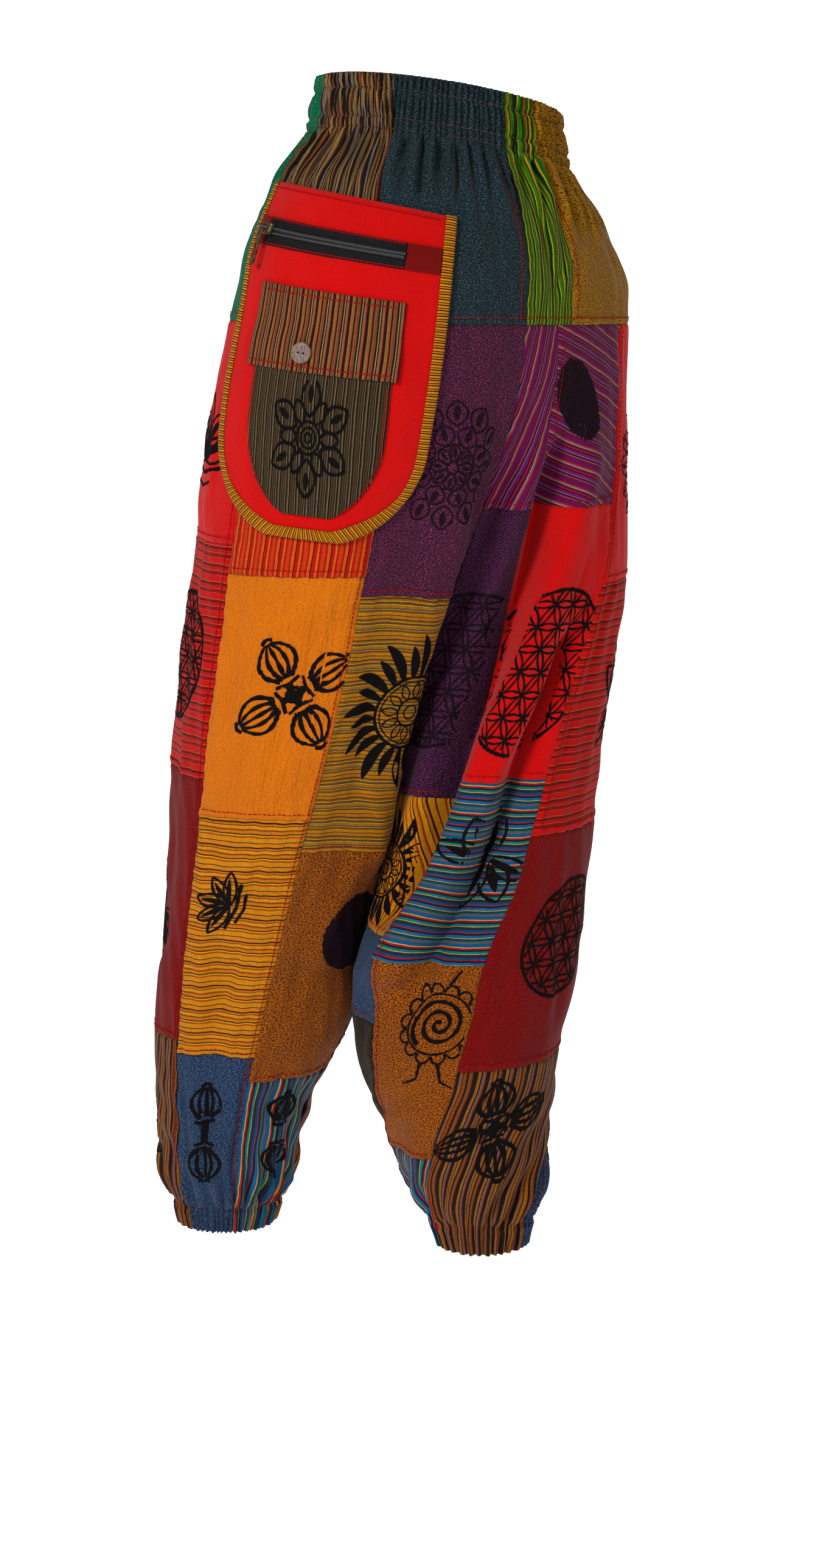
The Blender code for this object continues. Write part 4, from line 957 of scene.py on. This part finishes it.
# prints: motif, leg, u and z of its middle, radius in millimetres, turn in degrees, stretch upwards
PRINTS = (
    (mandala, "left", 0.893, -0.268, 49, 0, 1.0),
    (vajra_cross, "left", 0.690, -0.450, 52, -10, 1.0),
    (sun, "left", 0.925, -0.466, 60, 0, 1.0),
    (lotus, "left", 0.605, -0.632, 28, 76, 1.0),
    (disc, "left", 0.935, -0.665, 36, 0, 1.0),
    (vajra, "left", 0.630, -0.850, 46, 0, 1.0),
    (vajra, "left", 0.865, -0.852, 40, 0, 1.0),
    (lotus, "left", 0.400, -0.250, 48, 0, 1.0),
    (flower_of_life, "left", 0.395, -0.430, 52, 0, 1.0),
    (petals, "left", 0.390, -0.660, 50, 30, 1.0),
    (vajra_cross, "left", 0.385, -0.860, 34, 0, 1.0),
    (mandala, "left", 0.120, -0.450, 44, 0, 1.0),
    (flower_of_life, "left", 0.120, -0.690, 38, 0, 1.0),
    (petals, "left", 0.130, -0.250, 44, 0, 1.0),
    (flower_of_life, "right", 0.965, -0.440, 62, 0, 1.0),
    (flower_of_life, "right", 0.838, -0.440, 64, 0, 1.0),
    (disc, "right", 0.885, -0.222, 24, 35, 1.5),
    (petals, "right", 0.820, -0.590, 40, 20, 1.0),
    (spiral, "right", 0.800, -0.725, 33, 0, 1.0),
    (sun, "right", 0.975, -0.610, 48, 0, 1.0),
    (flower_of_life, "right", 0.665, -0.662, 46, 0, 1.0),
    (vajra_cross, "right", 0.685, -0.815, 46, 70, 1.0),
    (mandala, "right", 0.650, -0.280, 46, 0, 1.0),
    (petals, "right", 0.640, -0.470, 44, 0, 1.0),
    (sun, "right", 0.380, -0.460, 52, 0, 1.0),
    (vajra, "right", 0.380, -0.680, 48, 0, 1.0),
    (lotus, "right", 0.380, -0.850, 30, 0, 1.0),
    (mandala, "right", 0.130, -0.280, 42, 0, 1.0),
    (spiral, "right", 0.120, -0.780, 34, 0, 1.0),
)
EXTRA = {flower_of_life: (0.0205, 0.0016), vajra: (0.0,)}    # what else a motif takes
PRINT_MARGIN = 0.004                                         # ink stops this share of u short of a side


def lay_print(index, motif, leg, u_mid, z_mid, radius, turn, tall):
    p = Print()
    motif(p, radius / 1000, *EXTRA.get(motif, ()))
    flat = np.array(p.points)
    c, s = cos(radians(turn)), sin(radians(turn))
    flat = np.stack([flat[:, 0] * c - flat[:, 1] * s * tall, flat[:, 0] * s + flat[:, 1] * c * tall], 1)
    z = z_mid + flat[:, 1]
    u = u_mid + SIDE[leg] * flat[:, 0] / lengths_at(leg, np.full(len(flat), u_mid), z)
    quads = np.array(p.quads)
    zq, uq = z[quads].mean(axis=1), u[quads].mean(axis=1)
    left, right, top, foot = next(
        sides for half, *sides in PATCHES.values()
        if half == leg and sides[3] < z_mid < sides[2] and sides[0](z_mid) < u_mid < sides[1](z_mid))
    keep = ((zq < top - 0.003) & (zq > foot + 0.003) & (uq > left(zq) + PRINT_MARGIN)
            & (uq < right(zq) - PRINT_MARGIN) & (uq > 0.006) & (uq < 0.994))
    quads = quads[keep]
    used, quads = np.unique(quads, return_inverse=True)
    quads = quads.reshape(-1, 4)
    points = cloth_at(leg, u[used], z[used], SHELL / 2 + 0.0005)
    if SIDE[leg] < 0:
        quads = quads[:, ::-1]
    ink = FADED_INK if motif in (mandala, disc) or (motif is flower_of_life and u_mid > 0.9) else INK
    made(f"print_{index:02d}", points, quads, ink)


def box_faces(count):
    """Faces of count boxes, each of eight points: four at one end, then four at the other."""
    one = np.array([(0, 1, 2, 3), (7, 6, 5, 4), (0, 4, 5, 1), (1, 5, 6, 2), (2, 6, 7, 3), (3, 7, 4, 0)])
    return (one[None] + 8 * np.arange(count)[:, None, None]).reshape(-1, 4)


def stitches_on(place, path, pitch=0.0040, long=0.0028, wide=0.0007, high=0.0005, lift=0.0005):
    """Points of a run of stitches; path gives places, place(path) gives cloth points and normals."""
    points, facing = place(path)
    lengths = np.concatenate([[0], np.cumsum(np.linalg.norm(np.diff(points, axis=0), axis=1))])
    starts = np.arange(pitch / 2, lengths[-1] - long, pitch)

    def at(distance):
        return (np.stack([np.interp(distance, lengths, points[:, k]) for k in range(3)], 1),
                np.stack([np.interp(distance, lengths, facing[:, k]) for k in range(3)], 1))

    (a, na), (b, nb) = at(starts), at(starts + long)
    run = (b - a) / np.linalg.norm(b - a, axis=1, keepdims=True)
    corners = []
    for p, n in ((a, na), (b, nb)):
        side = np.cross(n, run)
        side /= np.linalg.norm(side, axis=1, keepdims=True)
        below, above = p + n * (lift - high * 0.5), p + n * (lift + high * 0.5)
        corners += [below - side * wide / 2, below + side * wide / 2,
                    above + side * wide / 2, above - side * wide / 2]
    return np.stack(corners, axis=1).reshape(-1, 3)


def on_cloth(leg):
    def place(path):
        u, z = path[:, 0], path[:, 1]
        return cloth_at(leg, u, z, SHELL / 2), normals(calm_surface, leg, u, z)
    return place


def seam_stitches():
    runs = {"waist": [], "seams": [], "cuffs": []}

    def sew(group, leg, u, z, **how):
        u, z = np.broadcast_arrays(u, z)
        runs[group].append(stitches_on(on_cloth(leg), np.stack([u, z], 1), **how))

    yoke = np.linspace(-0.034, YOKE_HEM + 0.004, 60)
    around = np.linspace(0.0, 1.0, 400)
    for leg, hem in CUFF_END.items():
        for level in WAIST_STITCHES:
            sew("waist", leg, around, level, pitch=FINE_PITCH)
        sew("cuffs", leg, around, hem + CUFF_STITCH)
        sew("seams", leg, around, YOKE_HEM + 0.0055)
        columns = LEG_LOOKS[leg]
        for i, (_, u_top, u_low, pieces) in enumerate(columns):
            after = columns[i + 1][1:3] if i + 1 < len(columns) else (1.0, 1.0)
            for _, foot, _ in pieces[:-1]:
                share = (YOKE_HEM - foot) / (YOKE_HEM - hem)
                start = u_top + (u_low - u_top) * share
                stop = after[0] + (after[1] - after[0]) * share
                sew("seams", leg, np.linspace(start + 0.004, stop - 0.004, 80), foot + 0.0050)
            if i:
                z = np.linspace(YOKE_HEM - 0.004, hem + 0.028, 300)
                sew("seams", leg, edge(u_top, u_low, YOKE_HEM, hem)(z) - 0.010, z)
        for _, u_top, u_low, _, _ in YOKE_LOOKS[leg][1:]:
            sew("seams", leg, edge(u_top, u_low, WAIST_TOP, YOKE_HEM)(yoke) - 0.009, yoke)
    sew("seams", "left", 0.986, yoke)
    for name, parts in runs.items():
        points = np.concatenate(parts)
        thread = DARK_THREAD if name == "waist" else THREAD
        made("stitches_" + name, points, box_faces(len(points) // 8), thread, smooth=False)


def pocket_place(a, b):
    """The garment's u and z under a place on the pocket."""
    u = POCKET_U + POCKET_LEAN * b + a * (POCKET_HALF - POCKET_TAPER * b)
    return u, POCKET_TOP - POCKET_DROP * b - POCKET_SLANT * a


def on_pocket(a, b, off):
    a, b, off = np.broadcast_arrays(np.asarray(a, float), np.asarray(b, float), np.asarray(off, float))
    u, z = pocket_place(a, b)
    return surface("left", u, z) + normals(surface, "left", u, z) * off[..., None]


def round_end(b, start, finish):
    t = np.clip((b - start) / (finish - start), 0, 1)
    return np.sqrt(1 - 0.88 * t * t)


def pocket_cloth(name, a_low, a_high, b_top, b_low, base, thick, fabric_name, slot, columns, rows,
                 rounded=None, wrinkle=0.0):
    b = np.linspace(b_top, b_low, rows + 1)[:, None]
    share = np.linspace(-1, 1, columns + 1)[None, :]
    keep = round_end(b, *rounded) if rounded else np.ones_like(b)
    a = (a_low + a_high) / 2 + share * (a_high - a_low) / 2 * keep
    b_all = np.broadcast_to(b, a.shape)
    under = base(b) if callable(base) else base
    rim = np.minimum(1 - abs(share), np.minimum(b - b_top, b_low - b) * 2)
    wave = np.sin(a * 7 + b * 19) * np.sin(b * 23 + a * 3) + 0.6 * np.sin(a * 17 - b * 9)
    wave = wrinkle * wave * ease(rim / 0.2)
    points = on_pocket(a, b_all, under + thick / 2 + wave + 0.0003 * ease((rim - 0.02) / 0.06))
    uv = np.stack([a * POCKET_WIDE / 2, b_all * POCKET_DROP], -1).reshape(-1, 2)
    material = FABRICS[fabric_name] if isinstance(fabric_name, str) else fabric_name
    item = made("cloth_" + name, points, grid_faces(*a.shape, flip=True), material, uv)
    finish_cloth(item, name, min(thick, SHELL))


def on_pocket_path(off):
    def place(path):
        a, b = path[:, 0], path[:, 1]
        return on_pocket(a, b, off), normals(surface, "left", *pocket_place(a, b))
    return place


def binding(off):
    """The striped binding round the pocket's sides and bottom."""
    sides, bottom = np.linspace(0, 1, 90), np.linspace(-1, 1, 60)[1:-1]
    a = np.concatenate([np.full(90, -1.0), bottom, np.full(90, 1.0)])[:, None]
    b = np.concatenate([sides, np.full(58, 1.0), sides[::-1]])[:, None]
    across = np.linspace(0, 1, 7)[None, :]
    a_in = a * (round_end(b, *POCKET_ROUND) - BINDING * across)
    b_in = b - 0.034 * across * ease((b - 0.8) / 0.2)
    swell = 0.0009 * np.sin(pi * np.clip(across * 0.96 + 0.02, 0, 1)) ** 0.6
    points = on_pocket(a_in, b_in, off - 0.0004 + swell)
    run = np.concatenate([[0], np.cumsum(np.linalg.norm(np.diff(points[:, 0], axis=0), axis=1))])
    uv = np.stack(np.broadcast_arrays(across * 0.008, run[:, None]), -1)
    item = made("cloth_pocket_binding", points, grid_faces(*a_in.shape, flip=False), FABRICS["binding"],
                uv.reshape(-1, 2))
    finish_cloth(item, "pocket_binding")


def pocket():
    first = CLOTH_LAYER / 2 + POCKET_STAND
    second = first + CLOTH_LAYER + LAYER
    third = second + CLOTH_LAYER + LAYER
    pocket_cloth("pocket_base", -1, 1, 0, 1, first, CLOTH_LAYER, "red", "red", 90, 80,
                 rounded=POCKET_ROUND, wrinkle=0.0004)
    binding(second)
    inner = 1 - BINDING - 0.006
    for end, a_low, a_high, columns in (("front", -inner, ZIP_A[0] - 0.004, 14),
                                        ("back", ZIP_A[1] + 0.004, inner, 22)):
        pocket_cloth("zip_end_strip_" + end, a_low, a_high, *ZIP_B, second, CLOTH_LAYER, "dark_red", "red",
                     columns, 10)
    pocket_cloth("zip_tape", *ZIP_A, *ZIP_B, second, TAPE, TAPE_CLOTH, "black_tape", 90, 10)
    pocket_cloth("lower_pocket", -0.58, 0.64, 0.445, LOWER_ROUND[1], second, CLOTH_LAYER, "olive_v", "olive",
                 60, 50, rounded=LOWER_ROUND, wrinkle=0.0004)
    pocket_cloth("pocket_flap", -0.66, 0.68, 0.255, 0.485,
                 lambda b: second + (third - second) * ease((b - 0.33) / 0.09),
                 CLOTH_LAYER, "brown_h", "brown", 70, 30, wrinkle=0.0003)
    coil(second + TAPE + LAYER)
    pocket_stitches(first + CLOTH_LAYER, second + CLOTH_LAYER, second + TAPE, third + CLOTH_LAYER)
    pocket_print(second + CLOTH_LAYER + 0.0006)


def pocket_stitches(on_base, on_second, on_tape, on_flap):
    runs = []

    def sew(off, a, b):
        a, b = np.broadcast_arrays(a, b)
        runs.append(stitches_on(on_pocket_path(off), np.stack([a, b], 1), pitch=FINE_PITCH))

    flap = np.linspace(-0.64, 0.66, 200)
    sew(on_second, flap, 0.272)
    sew(on_flap, flap, 0.468)
    sew(on_base, np.linspace(-0.9, 0.9, 200), 0.016)
    for level in (ZIP_B[0] + 0.004, ZIP_B[1] - 0.004):
        sew(on_tape, np.linspace(*ZIP_A, 200), level)
    down = 0.50 + (0.905 - 0.50) * np.linspace(0, 1, 120)
    middle, half = 0.03, 0.61 - 0.03
    for side in (-1, 1):
        sew(on_second, middle + side * half * round_end(down, *LOWER_ROUND), down)
    runs.append(buttonhole(on_flap))
    points = np.concatenate(runs)
    made("stitches_pocket", points, box_faces(len(points) // 8), THREAD, smooth=False)


def buttonhole(off):
    """A barred buttonhole above the button, as rows of short threads."""
    a, b = -0.10, 0.355
    place = on_pocket_path(off)
    parts = []
    for i in range(16):
        level = b - 0.018 + 0.036 * i / 15
        path = np.stack([np.linspace(a - 0.011, a + 0.011, 5), np.full(5, level)], 1)
        parts.append(stitches_on(place, path, pitch=0.0030, long=0.0024, wide=0.0005, lift=0.0003))
    return np.concatenate(parts)


def coil(base):
    """The zip's two interlocking rows of coil, as small rounded loops."""
    middle_b = sum(ZIP_B) / 2
    count = 112
    a = np.linspace(ZIP_A[0] + 0.105, ZIP_A[1] - 0.015, count)
    points, faces = [], []
    x = on_pocket(a + 0.01, middle_b, base) - on_pocket(a - 0.01, middle_b, base)
    x /= np.linalg.norm(x, axis=1, keepdims=True)
    y = on_pocket(a, middle_b - 0.01, base) - on_pocket(a, middle_b + 0.01, base)
    y /= np.linalg.norm(y, axis=1, keepdims=True)
    out = np.cross(x, y)
    here = on_pocket(a, middle_b, base)
    angles = np.linspace(0, pi, 6)
    for i in range(count):
        for side in (-1, 1):
            start = len(points)
            shift = x[i] * (0.0004 * side)
            lean = x[i] * 0.0007 * side
            for t in (-0.0006, 0.0006):
                for k in angles:
                    reach, rise = 0.0017 * cos(k), 0.0013 * sin(k) ** 0.7
                    points.append(here[i] + shift + x[i] * t + y[i] * (side * 0.0014 + reach)
                                  + lean * (reach / 0.0017) + out[i] * (rise + 0.0002))
            for k in range(5):
                faces.append((start + k, start + k + 1, start + 7 + k, start + 6 + k))
    item = made("zip_coil_teeth", points, faces, NYLON)
    solidify = item.modifiers.new("wire", "SOLIDIFY")
    solidify.thickness = 0.0004
    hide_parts("zip_coil")


def pocket_print(off):
    p = Print()
    for degrees in range(30, 390, 60):
        turn = radians(degrees)
        p.petal(0.016 * cos(turn), 0.016 * sin(turn), turn, 0.030, 0.020, 0.0026)
        p.leaf(0.024 * cos(turn), 0.024 * sin(turn), turn, 0.014, 0.006)
    for radius in (0.004, 0.008, 0.0125):
        p.circle(0, 0, radius, 0.0022)
    for degrees in range(0, 360, 60):
        turn = radians(degrees)
        p.petal(0.012 * cos(turn), 0.012 * sin(turn), turn, 0.020, 0.012, 0.0024)
    flat, quads = np.array(p.points), np.array(p.quads)
    a = 0.02 + flat[:, 0] / (POCKET_WIDE / 2)
    b = 0.68 - flat[:, 1] / POCKET_DROP
    keep = (b[quads].max(axis=1) < 0.90) & (b[quads].min(axis=1) > 0.50)
    used, quads = np.unique(quads[keep], return_inverse=True)
    made("print_pocket", on_pocket(a[used], b[used], off), quads.reshape(-1, 4)[:, ::-1], INK)


def kept_nodes():
    """The metal and the button are the CAD's own; they take a worn finish here."""
    for name, finish in (("zip_slider", BRONZE), ("pull_tab", BRONZE), ("flap_button", SHELL_BROWN)):
        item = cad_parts[name]
        item.data.materials.clear()
        item.data.materials.append(finish)


FLOOR_LEVEL, FLOOR_REACH = -1.056, 60.0
WORLD_LIGHT, WORLD_SEEN = 0.36, 1.45                  # the studio's white, as light and as background
CAMERA_PLACE, CAMERA_PITCH, CAMERA_TURN = (1.619, 1.905, -0.090), 10.3, 140    # degrees down and round


def lamp(name, place, aim, size, power):
    data = bpy.data.lights.new(name, "AREA")
    data.size, data.energy = size, power
    item = bpy.data.objects.new(name, data)
    item.location = place
    item.rotation_mode = "QUATERNION"
    item.rotation_quaternion = (Vector(aim) - Vector(place)).to_track_quat("-Z", "Y")
    bpy.context.scene.collection.objects.link(item)


def floor():
    mesh = bpy.data.meshes.new("floor")
    r, z = FLOOR_REACH, FLOOR_LEVEL
    mesh.from_pydata([(-r, -r, z), (r, -r, z), (r, r, z), (-r, r, z)], [], [(0, 1, 2, 3)])
    white = plain("floor_white", "#f2f2f2", 0.8, spot="#e6e6e6", scale=3.0, amount=0.2)
    shader = white.node_tree.nodes["Principled BSDF"]
    shader.inputs["Emission Color"].default_value = (1, 1, 1, 1)
    shader.inputs["Emission Strength"].default_value = 0.75
    mesh.materials.append(white)
    item = bpy.data.objects.new("floor", mesh)
    bpy.context.scene.collection.objects.link(item)


def studio():
    # shows the dyes as they are: the default view transform turns strong reds orange and golds to peach
    bpy.context.scene.view_settings.view_transform = "Standard"
    floor()
    world = bpy.data.worlds.new("studio")
    world.use_nodes = True
    tree = world.node_tree
    tree.nodes["Background"].inputs[0].default_value = (1, 1, 1, 1)
    seen = tree.nodes.new("ShaderNodeLightPath")
    strength = tree.nodes.new("ShaderNodeMapRange")
    strength.inputs["To Min"].default_value = WORLD_LIGHT
    strength.inputs["To Max"].default_value = WORLD_SEEN
    tree.links.new(seen.outputs["Is Camera Ray"], strength.inputs["Value"])
    tree.links.new(strength.outputs["Result"], tree.nodes["Background"].inputs[1])
    bpy.context.scene.world = world
    middle = (0.03, 0, -0.45)
    lamp("key", (2.5, 0.9, 0.9), middle, 0.7, 92)
    lamp("fill", (0.4, 2.6, 0.5), middle, 1.6, 16)
    lamp("back", (-2.0, -0.8, 1.4), middle, 1.4, 34)
    camera = bpy.data.cameras.new("camera")
    camera.lens = 70
    item = bpy.data.objects.new("camera", camera)
    item.location = CAMERA_PLACE
    item.rotation_euler = (radians(90 - CAMERA_PITCH), 0, radians(CAMERA_TURN))
    bpy.context.scene.collection.objects.link(item)
    bpy.context.scene.camera = item


all_patches()
for index, row in enumerate(PRINTS):
    lay_print(index, *row)
seam_stitches()
pocket()
kept_nodes()
studio()
